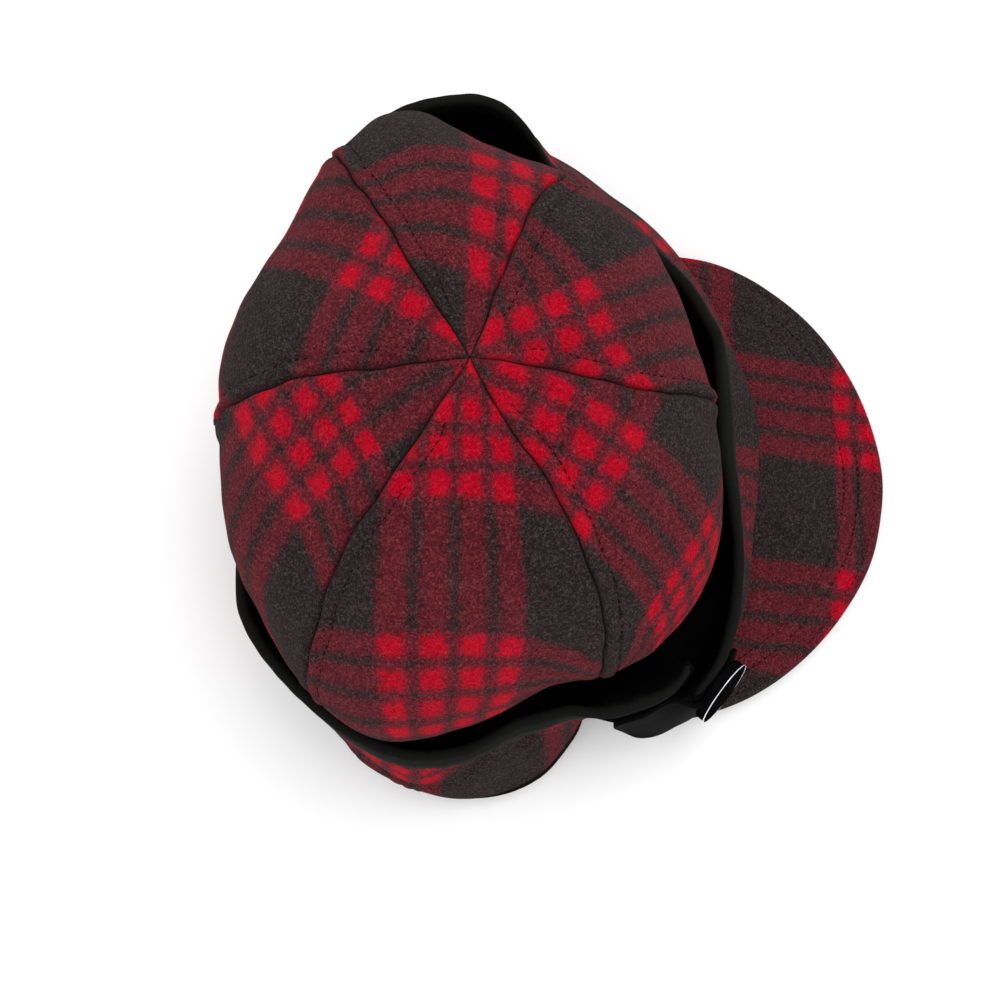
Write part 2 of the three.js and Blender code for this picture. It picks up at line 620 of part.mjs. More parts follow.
// Turns a solid built on +Z to sit on the outer face of the tab.
function seatOnTab(geometry) {
  const place = (angle, across) => {
    const { radius, height } = tabPoint(angle, across);
    return polar(angle, radius, height);
  };
  const along = new THREE.Vector3().subVectors(
    place(SNAP_ANGLE + SNAP_SPAN, 0.5),
    place(SNAP_ANGLE - SNAP_SPAN, 0.5),
  );
  const upward = new THREE.Vector3().subVectors(place(SNAP_ANGLE, 0.8), place(SNAP_ANGLE, 0.2));
  const outward = new THREE.Vector3().crossVectors(upward, along).normalize();
  const seat = place(SNAP_ANGLE, 0.5).addScaledVector(outward, GAP + SNAP_LIFT);
  const turn = new THREE.Quaternion().setFromUnitVectors(new THREE.Vector3(0, 0, 1), outward);
  geometry.applyQuaternion(turn);
  geometry.translate(seat.x, seat.y, seat.z);
  return geometry;
}

const MATERIALS = {
  wool_plaid: { color: 0x6e1a28, roughness: 0.95, metalness: 0 },
  lining_black: { color: 0x14141a, roughness: 0.7, metalness: 0 },
  binding_black: { color: 0x101012, roughness: 0.8, metalness: 0 },
  tab_black: { color: 0x131315, roughness: 0.8, metalness: 0 },
  snap_black: { color: 0x08080a, roughness: 0.15, metalness: 0 },
  snap_metal: { color: 0xc8cacc, roughness: 0.2, metalness: 1 },
};

const cap = new THREE.Group();
cap.name = "wool_earflap_cap";

function add(name, geometry, material) {
  const look = new THREE.MeshStandardMaterial({ name: material, ...MATERIALS[material] });
  const mesh = new THREE.Mesh(geometry, look);
  mesh.name = name;
  cap.add(mesh);
}

PANEL_NAMES.forEach((name, index) => add(`crown_panel_${name}`, crownPanel(index), "wool_plaid"));
add("peak", peakGeometry(), "wool_plaid");
add("ear_band", bandWool(EAR_BAND, EAR_STEPS), "wool_plaid");
add("ear_band_lining", bandLining(EAR_BAND, EAR_STEPS), "lining_black");
add("ear_band_binding", bandBinding(EAR_BAND, EAR_STEPS), "binding_black");
add("front_band", bandWool(FRONT_BAND, FRONT_STEPS), "wool_plaid");
add("front_band_lining", bandLining(FRONT_BAND, FRONT_STEPS), "lining_black");
add("front_band_binding", bandBinding(FRONT_BAND, FRONT_STEPS), "binding_black");
add("flap_hem", hemGeometry(), "binding_black");
add("side_tab", tabGeometry(), "tab_black");
add("snap_cap", seatOnTab(latheSolid(SNAP_CAP_PROFILE, 28)), "snap_black");
add("snap_rim", seatOnTab(latheSolid(SNAP_RIM_PROFILE, 28)), "snap_metal");

// Origin under the middle of the cap's bounding box.
const box = new THREE.Box3().setFromObject(cap);
const middle = box.getCenter(new THREE.Vector3());
cap.children.forEach((mesh) => mesh.geometry.translate(-middle.x, -middle.y, -box.min.z));

export default cap;
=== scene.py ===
"""Looks of the wool earflap cap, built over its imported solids."""
import math

import bmesh
import bpy
import numpy as np
from mathutils import Matrix, Vector


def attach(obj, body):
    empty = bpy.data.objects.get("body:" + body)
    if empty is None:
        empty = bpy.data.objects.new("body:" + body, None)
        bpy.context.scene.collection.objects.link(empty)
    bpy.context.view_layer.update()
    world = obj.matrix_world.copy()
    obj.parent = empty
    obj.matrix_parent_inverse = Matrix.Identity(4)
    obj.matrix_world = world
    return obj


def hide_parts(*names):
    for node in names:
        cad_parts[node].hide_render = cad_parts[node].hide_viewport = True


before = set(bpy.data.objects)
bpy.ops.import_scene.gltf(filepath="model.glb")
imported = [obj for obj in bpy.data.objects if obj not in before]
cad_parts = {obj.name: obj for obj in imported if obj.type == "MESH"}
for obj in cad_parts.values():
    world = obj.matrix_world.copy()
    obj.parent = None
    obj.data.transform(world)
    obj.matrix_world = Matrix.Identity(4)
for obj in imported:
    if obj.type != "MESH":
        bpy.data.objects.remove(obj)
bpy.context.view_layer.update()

# Sizes in millimetres and angles in degrees, from the front of the cap towards the wearer's right.
# Forward is -Y, the wearer's left is +X, up is +Z. SHIFT takes these points to the row frame.
SHIFT = np.array([2.5584564, 22.3674965, 0.0])
MM = 0.001
GAP = 0.3
WOOL_THICKNESS = 2.0
BAND_WOOL_THICKNESS = 1.8
BAND_LINING_THICKNESS = 1.0
CROWN_HEIGHT = 122.0
CROWN_TOP = (4.5, 15.0)
CROWN_TIP_RADIUS = 0.8
CROWN_LAST_ROW = 1.995
PANEL_PUFF = 1.6
SEAM_RIDGE_WIDTH = 4.0
SEAM_BOW_SHIFT = 1.8
PEAK_THICKNESS = 4.0
PEAK_ROOT_HEIGHT = 21.0
PEAK_SLOPE = 0.133
PEAK_SLOPE_START = 90.0
PEAK_ARCH_DROP = 16.8
PEAK_HALF_WIDTH = 104.0
PEAK_END_ANGLE = 70.0
PEAK_TUCK = 5.0
PEAK_TURN = 1.5
SUPPORT_FADE = (78.0, 108.0)
BAND_FLOOR = 0.4
FOOT_CLEARANCE = 0.9
LAP_ANGLES = (37.0, 43.5)
LAP_SHIFT = 15.0
BAND_JOIN_GAP = 0.1
BINDING_HEIGHT = 9.0
BINDING_OVERHANG = 0.6
FOLD_FRACTION = 0.85
FOLD_RADIUS_LIMIT = 9.0
TAB_THICKNESS = 2.2
SNAP_ANGLE = 42.0
HEM_ANGLES = (67.0, 112.0)

# What only the looks have.
PLAIN_UV = 0.01  # UV units a millimetre on cloth without the check
CLOTH_RADIUS = 130.0  # of the cylinder that a panel's cloth is unrolled from
PLANE_ROW = 1.3  # row of a panel that gives its middle plane
ROW_REACH = 0.35  # rows to each side in which a point looks for its height on the cloth
NARROW_PANEL = 24.0  # width under which a panel's seam details shrink
SEAM_ROLL = 1.4  # radius of the rolled-in edge of a panel
SEAM_DEPTH = 1.9  # how far that edge drops, in parts of its roll
SEAM_WANDER = 0.22
SEAM_RIDGES = (1.6, 0.7, 0.8, 1.6, 1.5, 1.0)  # each seam's ridge where the crown is widest
APEX_ROWS = (1.93, 1.995)  # rows in which the panels are drawn in to one spot
APEX_DROP = 1.2
THINNEST_WOOL = 0.4
STITCH_LINE = 5.0
STITCH_ROWS = (0.55, 1.9)
STITCH_PITCH = 2.7
STITCH_LENGTH = 1.95
STITCH_RADIUS = 0.19
STITCH_LIFT = 0.12
STITCH_DIVE = 0.75
STITCH_RINGS = (0.6, 0.9, 1.0, 1.0, 0.9, 0.6)  # thickness along one stitch
STITCH_SIDES = 6
FOLD_STEPS, WALL_STEPS = 12, 30
CLOTH_ROW = 26  # row of a band's grid from which its cloth's height counts
BAND_TUCK = -4.5  # how far a band's cloth ends short of the binding's lower edge: it runs up inside it
END_TAPE_TUCK = -6.0
GUTTER_HEIGHT = 3.5
GUTTER_REACH = 3.5
GUTTER_THICKNESS = 0.8
PEAK_STITCH_ROWS = (4.0, 11.0, 17.0)
PEAK_STITCH_END = 62.0
PEAK_RIM_STEPS = 13
TAB_ROUND = 0.9
TAB_TAIL = 53.0  # angle from which the tab narrows to its rounded end
SNAP_SPAN = 5.0
SNAP_LIFT = 0.5
SNAP_TILT = 0.18
SNAP_BODY = [(0, -1.6), (12.2, -1.6), (12.8, -1.2), (12.8, 2.1), (12.6, 2.35), (11.9, 2.1), (11.6, 2.1)]
SNAP_DOME = (11.3, 2.0, 1.3)  # radius, foot and rise
RING_WIRE = (13.08, 2.15, 0.22)  # radius, height and wire radius
HEM_RADIUS = 1.5
HEM_FLATNESS = 0.42
HEM_SIDES = 14


class Table:
    """Smooth curves through the columns of a table of angles."""

    def __init__(self, columns, rows, period=None):
        data = np.array(rows, float)
        self.angle = data[:, 0]
        self.period = period
        self.values = {name: data[:, k] for k, name in enumerate(columns, 1)}
        self.slopes = {name: self.column_slopes(v) for name, v in self.values.items()}

    def column_slopes(self, v):
        a = self.angle
        step_after = np.roll(a, -1) - a
        step_before = a - np.roll(a, 1)
        if self.period:
            step_after[-1] += self.period
            step_before[0] += self.period
        slope_after = (np.roll(v, -1) - v) / step_after
        slope_before = (v - np.roll(v, 1)) / step_before
        slopes = (slope_before * step_after + slope_after * step_before) / (step_before + step_after)
        if not self.period:
            slopes[0] = slope_after[0]
            slopes[-1] = slope_before[-1]
        return slopes

    def read(self, column, angle):
        angle = np.asarray(angle, float)
        v = self.values[column]
        m = self.slopes[column]
        start = self.angle[0]
        count = len(self.angle)
        wrapped = start + np.mod(angle - start, self.period) if self.period else angle
        index = np.clip(np.searchsorted(self.angle, wrapped, side="right") - 1, 0, count - 1)
        if not self.period:
            index = np.minimum(index, count - 2)
        after = (index + 1) % count
        span = self.angle[after] - self.angle[index]
        if self.period:
            span = np.where(after == 0, span + self.period, span)
        t = np.clip((wrapped - self.angle[index]) / span, 0, 1)
        t2 = t * t
        t3 = t2 * t
        return (
            (2 * t3 - 3 * t2 + 1) * v[index]
            + (t3 - 2 * t2 + t) * m[index] * span
            + (3 * t2 - 2 * t3) * v[after]
            + (t3 - t2) * m[after] * span
        )


# Outline of the head ring and of the crown's widest line, the height of that line,
# and how soon the wall leaves the ring's outline for it.
CROWN = Table(("ring", "shoulder", "height", "lean"), [
    (0, 87.5, 69, 68, 0.5), (15, 88.5, 75, 64, 0.55), (30, 90.5, 83.5, 60, 0.75), (45, 90.5, 89, 58, 1),
    (60, 90, 91.5, 57, 1), (75, 89, 90, 57, 1), (90, 89, 103.5, 54, 1), (105, 90, 117.2, 51, 1),
    (120, 91, 115, 54, 1), (135, 91.5, 107.8, 58, 1.1), (150, 92, 103.6, 64, 1.3), (165, 92.5, 101, 66, 1.4),
    (180, 92.5, 102, 67, 1.4), (195, 92.5, 100.3, 68, 1.4), (210, 92, 101.5, 70, 1.3), (225, 91.5, 110.5, 71, 1.1),
    (240, 91, 115, 72, 1), (255, 90, 94.5, 72, 1), (270, 89, 87, 72, 1), (285, 88.5, 79.8, 72, 0.8),
    (300, 88.5, 73.4, 72, 0.65), (315, 88, 68.4, 70, 0.5), (330, 87.5, 65.3, 70, 0.45), (345, 87.5, 66.8, 69, 0.45),
], 360.0)

# Seams of the six panels: angle at the head ring and at the widest line, bow between there and the top.
SEAMS = [(-7, -13, 7), (60, 63, -9), (118, 117.5, 6), (174, 169.5, 2), (234, 226, 0), (288, 275, -5)]
PANEL_NAMES = ("front_right", "side_right", "back_right", "back_left", "side_left", "front_left")

# Plan of the peak's free edge, the same on both sides.
PEAK_HALF = [(0, 150.6), (6, 150.4), (15, 147.2), (25, 142.4), (35, 136.3), (44, 129), (56, 118.5), (62, 111),
             (66, 106.5), (70, 102.5)]
PEAK_EDGE = Table(("radius",), [(-a, r) for a, r in PEAK_HALF[:0:-1]] + PEAK_HALF)

# Turned-up band: lower fold, crease and bound top edge of its outer face.
BAND_COLUMNS = ("fold", "crease", "crease_height", "top", "top_height")
EAR_BAND = Table(BAND_COLUMNS, [
    (44.5, 103, 106, 34, 104.8, 54), (50, 103, 107, 34, 108, 54), (58, 102, 106, 34, 107.3, 55),
    (64, 103, 105, 34, 105.8, 55), (70, 115.5, 108, 32, 101.8, 54), (75, 125.5, 112, 33, 102.1, 53),
    (81, 132.5, 114, 36, 104.3, 52), (90, 138, 123.5, 36, 114.5, 50), (98, 138, 128.5, 36, 120.3, 50),
    (108, 134, 126.5, 38, 122.1, 50), (117, 129, 124, 36, 121.4, 50), (125, 124.5, 122, 34, 120.6, 50),
    (132, 120, 119.5, 33, 119.7, 50), (137, 116, 117, 32, 118.1, 50), (148, 107.5, 108.5, 31, 109, 49),
    (156, 104, 104.5, 30, 105.8, 47.5), (168, 102.5, 103, 30, 105.3, 45.8), (182, 102.5, 103, 30, 105.8, 45.2),
    (198, 102.5, 103.5, 31, 105.8, 46), (212, 105, 106.5, 32, 108, 49), (225, 117, 118, 34, 118.5, 54),
    (233, 126, 126, 35, 126, 55), (240, 134, 132.5, 36, 131, 56), (250, 139, 135.5, 36, 131.6, 56),
    (256, 138.5, 134, 36, 129.6, 56), (260.5, 136, 130, 36, 123.5, 56), (264.5, 135, 125, 35, 114, 55),
    (268.5, 131.5, 117.5, 34, 103.5, 53), (273, 127.5, 112.5, 34, 98, 51), (280, 121, 107, 33, 93.5, 49),
    (290, 114, 102, 33, 90.5, 48), (302, 105.8, 96.5, 33, 88, 48),
])
FRONT_BAND = Table(BAND_COLUMNS, [
    (-58, 105.8, 96.5, 33, 88, 48), (-50, 101.5, 94.5, 33, 87.5, 48), (-42, 98.5, 92.5, 34, 86, 48),
    (-36, 96.7, 91, 34, 86, 47), (-29, 95.8, 89, 34, 82.6, 46), (-16, 96.3, 87, 34, 78.2, 46),
    (-4, 95.6, 86.5, 34, 78.3, 46), (5, 96.6, 89, 34, 82.6, 46), (12, 98.2, 92.2, 34, 87.4, 46),
    (18, 101.4, 96.5, 34, 92.6, 46), (25, 107.1, 102.5, 33, 98.6, 46), (32, 111.6, 108.6, 33, 105.4, 46),
    (40, 116.5, 115, 33, 112, 46), (47, 119, 118, 33, 115, 46),
])
TAB = Table(("low", "low_z", "mid", "mid_z", "high", "high_z", "width"), [
    (34.6, 117, 18, 114.6, 33, 112.9, 40, 0.35), (35.6, 117.6, 18, 115.3, 33, 113.6, 40, 0.72),
    (37.5, 118.6, 17, 116.8, 33, 115.2, 40, 0.96), (40, 119.8, 17, 118.4, 33, 117.1, 41, 1),
    (44, 121, 17, 120, 33, 119.1, 42, 1), (47.3, 121.9, 17, 121, 33, 120, 43, 1),
    (51, 122.3, 18, 119.3, 34, 114.4, 48, 1), (55, 121.8, 20, 117.4, 35, 112, 50, 1),
    (58.5, 119.8, 22, 115.4, 36, 111.2, 50, 0.92), (61, 117, 23, 113.4, 36, 110.4, 50, 0.66),
    (62.4, 115.6, 23, 112.5, 36, 110.2, 50, 0.3),
])


def polar(angle, radius, height):
    turn = np.radians(angle)
    x, y, z = np.broadcast_arrays(-radius * np.sin(turn), -radius * np.cos(turn), height)
    return np.stack([x, y, z], axis=-1).astype(float)


def unit(vectors):
    return vectors / np.maximum(np.linalg.norm(vectors, axis=-1, keepdims=True), 1e-9)


def bell(distance, width):
    return np.exp(-((distance / width) ** 2))


def smooth(value, low, high):
    t = np.clip((value - low) / (high - low), 0, 1)
    return t * t * (3 - 2 * t)


def path_length(points):
    """Distance along a line of points from its first."""
    return np.concatenate([[0.0], np.cumsum(np.linalg.norm(np.diff(points, axis=0), axis=1))])


def grid_normals(grid):
    """Outward normals of a grid of points whose first axis runs along and second across."""
    return unit(np.cross(np.gradient(grid, axis=0), np.gradient(grid, axis=1)))


def peak_top(x, y):
    forward = np.maximum(0, -y - PEAK_SLOPE_START)
    return PEAK_ROOT_HEIGHT - PEAK_SLOPE * forward - PEAK_ARCH_DROP * (x / PEAK_HALF_WIDTH) ** 2


def support_height(x, y):
    """Height of what the crown and the bands stand on: the peak in front, and the floor behind."""
    angle = np.abs(np.degrees(np.arctan2(-x, -y)))
    fade = np.clip((angle - SUPPORT_FADE[0]) / (SUPPORT_FADE[1] - SUPPORT_FADE[0]), 0, 1)
    return (peak_top(x, y) + GAP) * (1 - fade) ** 2


def crown_surface(row, angle):
    """Smooth crown: row 0 at the ring, 1 at the widest line, 2 at the top. Gives points and reach."""
    row, angle = np.broadcast_arrays(np.asarray(row, float), np.asarray(angle, float))
    climb = np.maximum(0, row - 1)
    swing = (1 - np.cos(np.pi * np.minimum(1, row) ** CROWN.read("lean", angle))) / 2
    keep = np.where(climb > 0, np.cos(np.pi / 2 * climb), 1.0)
    ring = CROWN.read("ring", angle)
    widest = CROWN.read("height", angle)
    reach = np.maximum(CROWN_TIP_RADIUS, (ring + (CROWN.read("shoulder", angle) - ring) * swing) * keep)
    point = polar(angle, reach, 0.0)
    base = np.maximum(0, support_height(point[..., 0], point[..., 1]))
    point[..., 0] += CROWN_TOP[0] * (1 - keep)
    point[..., 1] += CROWN_TOP[1] * (1 - keep)
    dome = widest + (CROWN_HEIGHT - widest) * np.sin(np.pi / 2 * climb)
    point[..., 2] = np.where(row <= 1, base + (widest - base) * row, dome)
    return point, reach


def crown_normal(row, angle):
    above = crown_surface(np.minimum(CROWN_LAST_ROW, row + 0.02), angle)[0]
    below = crown_surface(np.maximum(0, row - 0.02), angle)[0]
    across = crown_surface(row, angle + 1)[0] - crown_surface(row, angle - 1)[0]
    return unit(np.cross(above - below, across))


def row_swing(row):
    """Share of the way from the ring's outline to the widest line's."""
    return (1 - np.cos(np.pi * np.minimum(1, row))) / 2


def seam_angle(index, row):
    """Angle of a seam at a row; past the last seam it starts again a turn further on."""
    ring, shoulder, bow = SEAMS[index % 6]
    lift = np.sin(np.pi * np.maximum(0, row - 1) ** SEAM_BOW_SHIFT)
    return 360 * (index // 6) + ring + (shoulder - ring) * row_swing(row) + bow * lift


def seam_line(index, rows):
    """Seam angle with the small sideways wander of a sewn seam."""
    along = np.asarray(rows) * 92 + 31 * (index % 6)
    wander = np.sin(along / 5.3) + 0.6 * np.sin(along / 2.1 + 1.0) + 0.5 * np.sin(along / 13 + 2.0)
    fade = smooth(rows, 0.1, 0.4) * (1 - smooth(rows, 1.93, 1.99))
    reach = np.maximum(0.25, np.cos(np.pi / 2 * np.maximum(0, rows - 1)))
    return seam_angle(index, rows) + SEAM_WANDER * wander * fade / reach


def panel_cloth(index, points, rows):
    """Flat cloth coordinates of a panel's points, in mm: x across its middle plane, y down from the top."""
    plane = np.array([PLANE_ROW])
    middle = np.radians((seam_angle(index, plane)[0] + seam_angle(index + 1, plane)[0]) / 2)
    ahead = np.array([-math.sin(middle), -math.cos(middle)])
    aside = np.array([ahead[1], -ahead[0]])
    line_rows = np.linspace(0, CROWN_LAST_ROW, 260)
    line, _ = crown_surface(line_rows, np.degrees(middle))
    profile = np.stack([(line[:, :2] - np.array(CROWN_TOP)) @ ahead, line[:, 2]], -1)
    length = path_length(profile)
    down = length[-1] - length
    offset = points[..., :2] - np.array(CROWN_TOP)
    place = np.stack([offset @ ahead, points[..., 2]], -1)
    gap = np.linalg.norm(place[..., None, :] - profile, axis=-1)
    near = np.abs(rows[:, None, None] - line_rows) < ROW_REACH
    gap = np.where(near, gap, 1e6)
    weight = np.exp(-((gap - gap.min(-1, keepdims=True)) / 0.6) ** 2) * near
    y = (weight * down).sum(-1) / weight.sum(-1)
    x = CLOTH_RADIUS * np.arcsin(np.clip(offset @ aside / CLOTH_RADIUS, -0.95, 0.95))
    return x, y


def lap_shift(table, angle):
    """How far the front band's foot stands out where it laps over the ear band."""
    if table is not FRONT_BAND:
        return np.zeros_like(angle)
    return LAP_SHIFT * smooth(angle, *LAP_ANGLES)


def natural_curve(p0, p1, p2, t):
    """Catmull-Rom curve through three points with its ends doubled, t from 0 to 1."""
    t = t * 2
    first = (t < 1)[..., None]
    w = np.where(t < 1, t, t - 1)[..., None]
    points = [p[:, None, :] for p in (p0, p0, p1, p2, p2)]
    q0, q1, q2, q3 = (np.where(first, points[k], points[k + 1]) for k in range(4))
    v0 = (q2 - q0) * 0.5
    v1 = (q3 - q1) * 0.5
    return (2 * q1 - 2 * q2 + v0 + v1) * w**3 + (-3 * q1 + 3 * q2 - 2 * v0 - v1) * w**2 + v0 * w + q1


def band_lines(table, angles):
    """Lines of a turned-up band: foot, fold, its bend and floor, then crease, rise and top edge."""
    fold = table.read("fold", angles)
    crease = np.stack([table.read("crease", angles), table.read("crease_height", angles)], -1)
    top = np.stack([table.read("top", angles), table.read("top_height", angles)], -1)
    foot = CROWN.read("ring", angles) + FOOT_CLEARANCE + lap_shift(table, angles)
    bend = np.minimum(FOLD_RADIUS_LIMIT, (fold - foot) * FOLD_FRACTION)
    edge = polar(angles, fold, 0.0)
    floor = np.maximum(0, support_height(edge[..., 0], edge[..., 1])) + BAND_FLOOR
    return foot, fold, bend, floor, crease, unit(top - crease), top


def band_angles(table, steps):
    return np.linspace(table.angle[0] + BAND_JOIN_GAP, table.angle[-1] - BAND_JOIN_GAP, steps + 1)


def band_grid(table, angles, tuck):
    """Outer face of a band from its foot round the fold and up, tuck short of the binding."""
    foot, fold, bend, floor, crease, rise, top = band_lines(table, angles)
    turn = np.linspace(0, np.pi / 2, FOLD_STEPS + 1)
    arc = np.stack([
        (fold - bend)[:, None] + bend[:, None] * np.sin(turn),
        floor[:, None] + bend[:, None] * (1 - np.cos(turn)),
    ], -1)
    end = top - rise * (BINDING_HEIGHT + tuck)
    middle = crease + (end - crease) * 0.001
    t = np.linspace(0, 1, WALL_STEPS + 1)[1:]
    wall = natural_curve(arc[:, -1], middle, end, np.repeat(t[None], len(angles), 0))
    section = np.concatenate([np.stack([foot, floor], -1)[:, None], arc, wall], 1)
    points = polar(angles[:, None], section[..., 0], section[..., 1])
    lowest = support_height(points[..., 0], points[..., 1]) + BAND_FLOOR
    points[..., 2] = np.maximum(points[..., 2], lowest)
    return np.swapaxes(points, 0, 1)


def cloth_lengths(grid, row):
    """Lengths over a grid in mm: along the given row, and across each column from that row."""
    step = np.linalg.norm(np.diff(grid, axis=0), axis=2)
    across = np.concatenate([np.zeros((1, grid.shape[1])), np.cumsum(step, axis=0)], 0)
    across -= across[row][None]
    return np.repeat(path_length(grid[row])[None], grid.shape[0], 0), across


def peak_root_and_edge(angle):
    return CROWN.read("ring", angle) - PEAK_TUCK, PEAK_EDGE.read("radius", angle - PEAK_TURN)


def peak_point(angle, share):
    """Point of the peak's upper face; share is 0 at its root and 1 at its free edge."""
    root, edge = peak_root_and_edge(angle)
    point = polar(angle, root + (edge - root) * share, 0.0)
    point[..., 2] = peak_top(point[..., 0], point[..., 1])
    return point


def tab_point(angle, across):
    """Point of the tab's outer face; across is 0 at its lower edge and 1 at its upper edge."""
    angle = np.asarray(angle, float)
    drawn_in = 2.9 * smooth(angle, 47.6, 50.8) * (1 - smooth(angle, 51.5, 57)) + 0.8 * smooth(angle, 52, 57)
    leant = 1.3 * (1 - smooth(angle, 47, 52))
    flared = 2.2 * smooth(angle, 42, 47) * (1 - smooth(angle, 58.5, 62.4)) + leant
    low = 2 * (across - 0.5) * (across - 1)
    mid = -4 * across * (across - 1)
    high = 2 * across * (across - 0.5)
    radius = low * (TAB.read("low", angle) + flared) + mid * TAB.read("mid", angle)
    radius = radius + high * (TAB.read("high", angle) - drawn_in - leant)
    height = low * TAB.read("low_z", angle) + mid * TAB.read("mid_z", angle) + high * TAB.read("high_z", angle)
    return polar(angle, radius, height)


SOFT_WAVES = np.random.default_rng(7).normal(size=(14, 3))
SOFT_PHASES = np.random.default_rng(8).uniform(0, 2 * np.pi, 14)


def undulation(points, wavelength):
    """Smooth uneven height over points, about -1 to 1, with features of one wavelength."""
    directions = unit(SOFT_WAVES) * (2 * np.pi / wavelength)
    lengths = np.linspace(0.75, 1.35, len(directions))[:, None]
    return np.sin(points @ (directions * lengths).T + SOFT_PHASES).sum(-1) / 4.2


CHECK_REPEAT = 83.0
# Where the check lies on each piece: shift across and down, turn, stretch, and how it bends
# across (u) and down (v) with the place on the piece.
BENDS = ("u_twist", "u_down", "u_across", "u_twist_down", "u_across_cubed",
         "v_across", "v_down", "v_twist", "v_twist_across", "v_across_cubed")
CHECK_PLACES = {
    "front_right": (64.79, 20.48, -2.92, -0.086, -4.26, -6.74, 2.2, -1.0, 11.48, -4.91, 8.26, 16.98, -24.76, -20.34),
    "side_right": (67.75, 0.93, 6.38, 0.0, -11.08, -1.49, -7.37, 12.8, -3.74, -10.6, -2.3, 2.42, -3.36, 3.39),
    "back_right": (79.43, 33.7, 11.75, -0.032, -2.19, 3.37, -4.4, -8.67, -5.1, -5.58, -14.13, -8.02, 12.98, 14.1),
    "back_left": (6.63, 10.76, -1.32, -0.001, 3.8, 1.07, 2.2, 4.72, -6.22, 6.77, 1.88, 2.35, -7.22, -3.42),
    "side_left": (10.92, 35.72, -4.03, 0.028, -14.68, 6.41, -14.9, 10.35, 24.5, 3.7, 10.55, -33.77, 5.31, 10.95),
    "front_left": (90.57, 6.17, 0.51, 0.01, -12.47, 8.27, 4.9, -12.07, -4.62, 22.79, -2.11, -30.0, 39.04, -21.38),
    "peak": (16.26, 55.6, -0.93, 0.031, -0.24, -0.4, 1.33, 0.41, 0.97, 15.21, 2.96, 5.36, -9.09, -4.0),
    "ear_band": (21.0, 20.2, 0, 0),
    "front_band": (1.4, 24.0, 0, 0),
}


def plaid_uv(place, x, y):
    """Cloth coordinates of a piece moved to where the check lies on it, in repeats of the check."""
    shift_x, shift_y, turn, stretch = place[:4]
    bend = dict.fromkeys(BENDS, 0.0) | dict(zip(BENDS, place[4:]))
    turn = math.radians(turn)
    across = np.clip(x / 50, -1.3, 1.3)
    down = np.clip((y - 60) / 50, -1.3, 1.5)
    u = math.cos(turn) * x + math.sin(turn) * y - shift_x
    u = u + across * down * (bend["u_twist"] + bend["u_twist_down"] * down) + bend["u_down"] * down**2
    u = u + across**2 * (bend["u_across"] + bend["u_across_cubed"] * across)
    v = -math.sin(turn) * x + math.cos(turn) * y - shift_y
    v = v + across * down * (bend["v_twist"] + bend["v_twist_across"] * across) + bend["v_down"] * down**2
    v = v + across**2 * (bend["v_across"] + bend["v_across_cubed"] * across)
    repeat = CHECK_REPEAT * math.exp(stretch)
    return np.stack([u / repeat, v / repeat], -1)


def add_object(name, data):
    obj = bpy.data.objects.new(name, data)
    bpy.context.scene.collection.objects.link(obj)
    return obj


def new_mesh(name, points, faces, uv):
    """Object from points in mm and a list of face index lists; uv holds one pair a point."""
    mesh = bpy.data.meshes.new(name)
    mesh.from_pydata(((points.reshape(-1, 3) + SHIFT) * MM).tolist(), [], faces)
    layer = mesh.uv_layers.new(name="cloth")
    corner = np.zeros(len(mesh.loops), np.int32)
    mesh.loops.foreach_get("vertex_index", corner)
    layer.data.foreach_set("uv", uv.reshape(-1, 2)[corner].astype(np.float32).ravel())
    mesh.polygons.foreach_set("use_smooth", [True] * len(mesh.polygons))
    mesh.validate()
    return add_object(name, mesh)


def grid_faces(rows, columns, start=0, flip=False, wrap=False):
    i, j = np.meshgrid(np.arange(rows - 1), np.arange(columns if wrap else columns - 1), indexing="ij")
    after = (j + 1) % columns
    near, far = start + i * columns, start + (i + 1) * columns
    quads = np.stack([near + j, far + j, far + after, near + after], -1).reshape(-1, 4)
    return quads[:, ::-1].tolist() if flip else quads.tolist()


def strand_faces(rows, sides, start=0):
    """Faces of a closed strand: its rings joined, and a cap at each end."""
    last = start + (rows - 1) * sides
    caps = [list(range(start, start + sides)), list(range(last, last + sides))[::-1]]
    return grid_faces(rows, sides, start, wrap=True) + caps


def uv_grid(u, v):
    return np.stack(np.broadcast_arrays(u[:, None], v[None]), -1)


def strand_points(path, normals, radius, sides, flat=1.0):
    """Rings of points round a path, and their angles; flat is a ring's height as a share of its width."""
    tangent = unit(np.gradient(path, axis=0))
    side = unit(np.cross(tangent, normals))
    up = np.cross(side, tangent)
    turn = np.linspace(0, 2 * np.pi, sides, endpoint=False)
    ring = side[:, None] * np.cos(turn)[None, :, None] + up[:, None] * (flat * np.sin(turn))[None, :, None]
    return (path[:, None] + ring * radius[:, None, None]).reshape(-1, 3), turn


def shell(name, outer, inner, uv):
    """Closed sheet of cloth between two grids of the same size, with its four edges closed."""
    rows, columns = outer.shape[:2]
    count = rows * columns
    faces = grid_faces(rows, columns) + grid_faces(rows, columns, count, True)
    top = np.arange(columns)
    left = np.arange(rows) * columns
    loop = np.concatenate([top, left[1:] + columns - 1, (top + (rows - 1) * columns)[-2::-1], left[-2:0:-1]])
    after = np.roll(loop, -1)
    faces += np.stack([loop, after, after + count, loop + count], -1).tolist()
    points = np.concatenate([outer.reshape(-1, 3), inner.reshape(-1, 3)])
    flat = uv.reshape(-1, 2)
    return new_mesh(name, points, faces, np.concatenate([flat, flat]))


# Which edges of each panel, its start and its end, carry a row of topstitching.
STITCHED = ((False, True), (False, True), (False, False), (True, False), (True, False), (True, True))
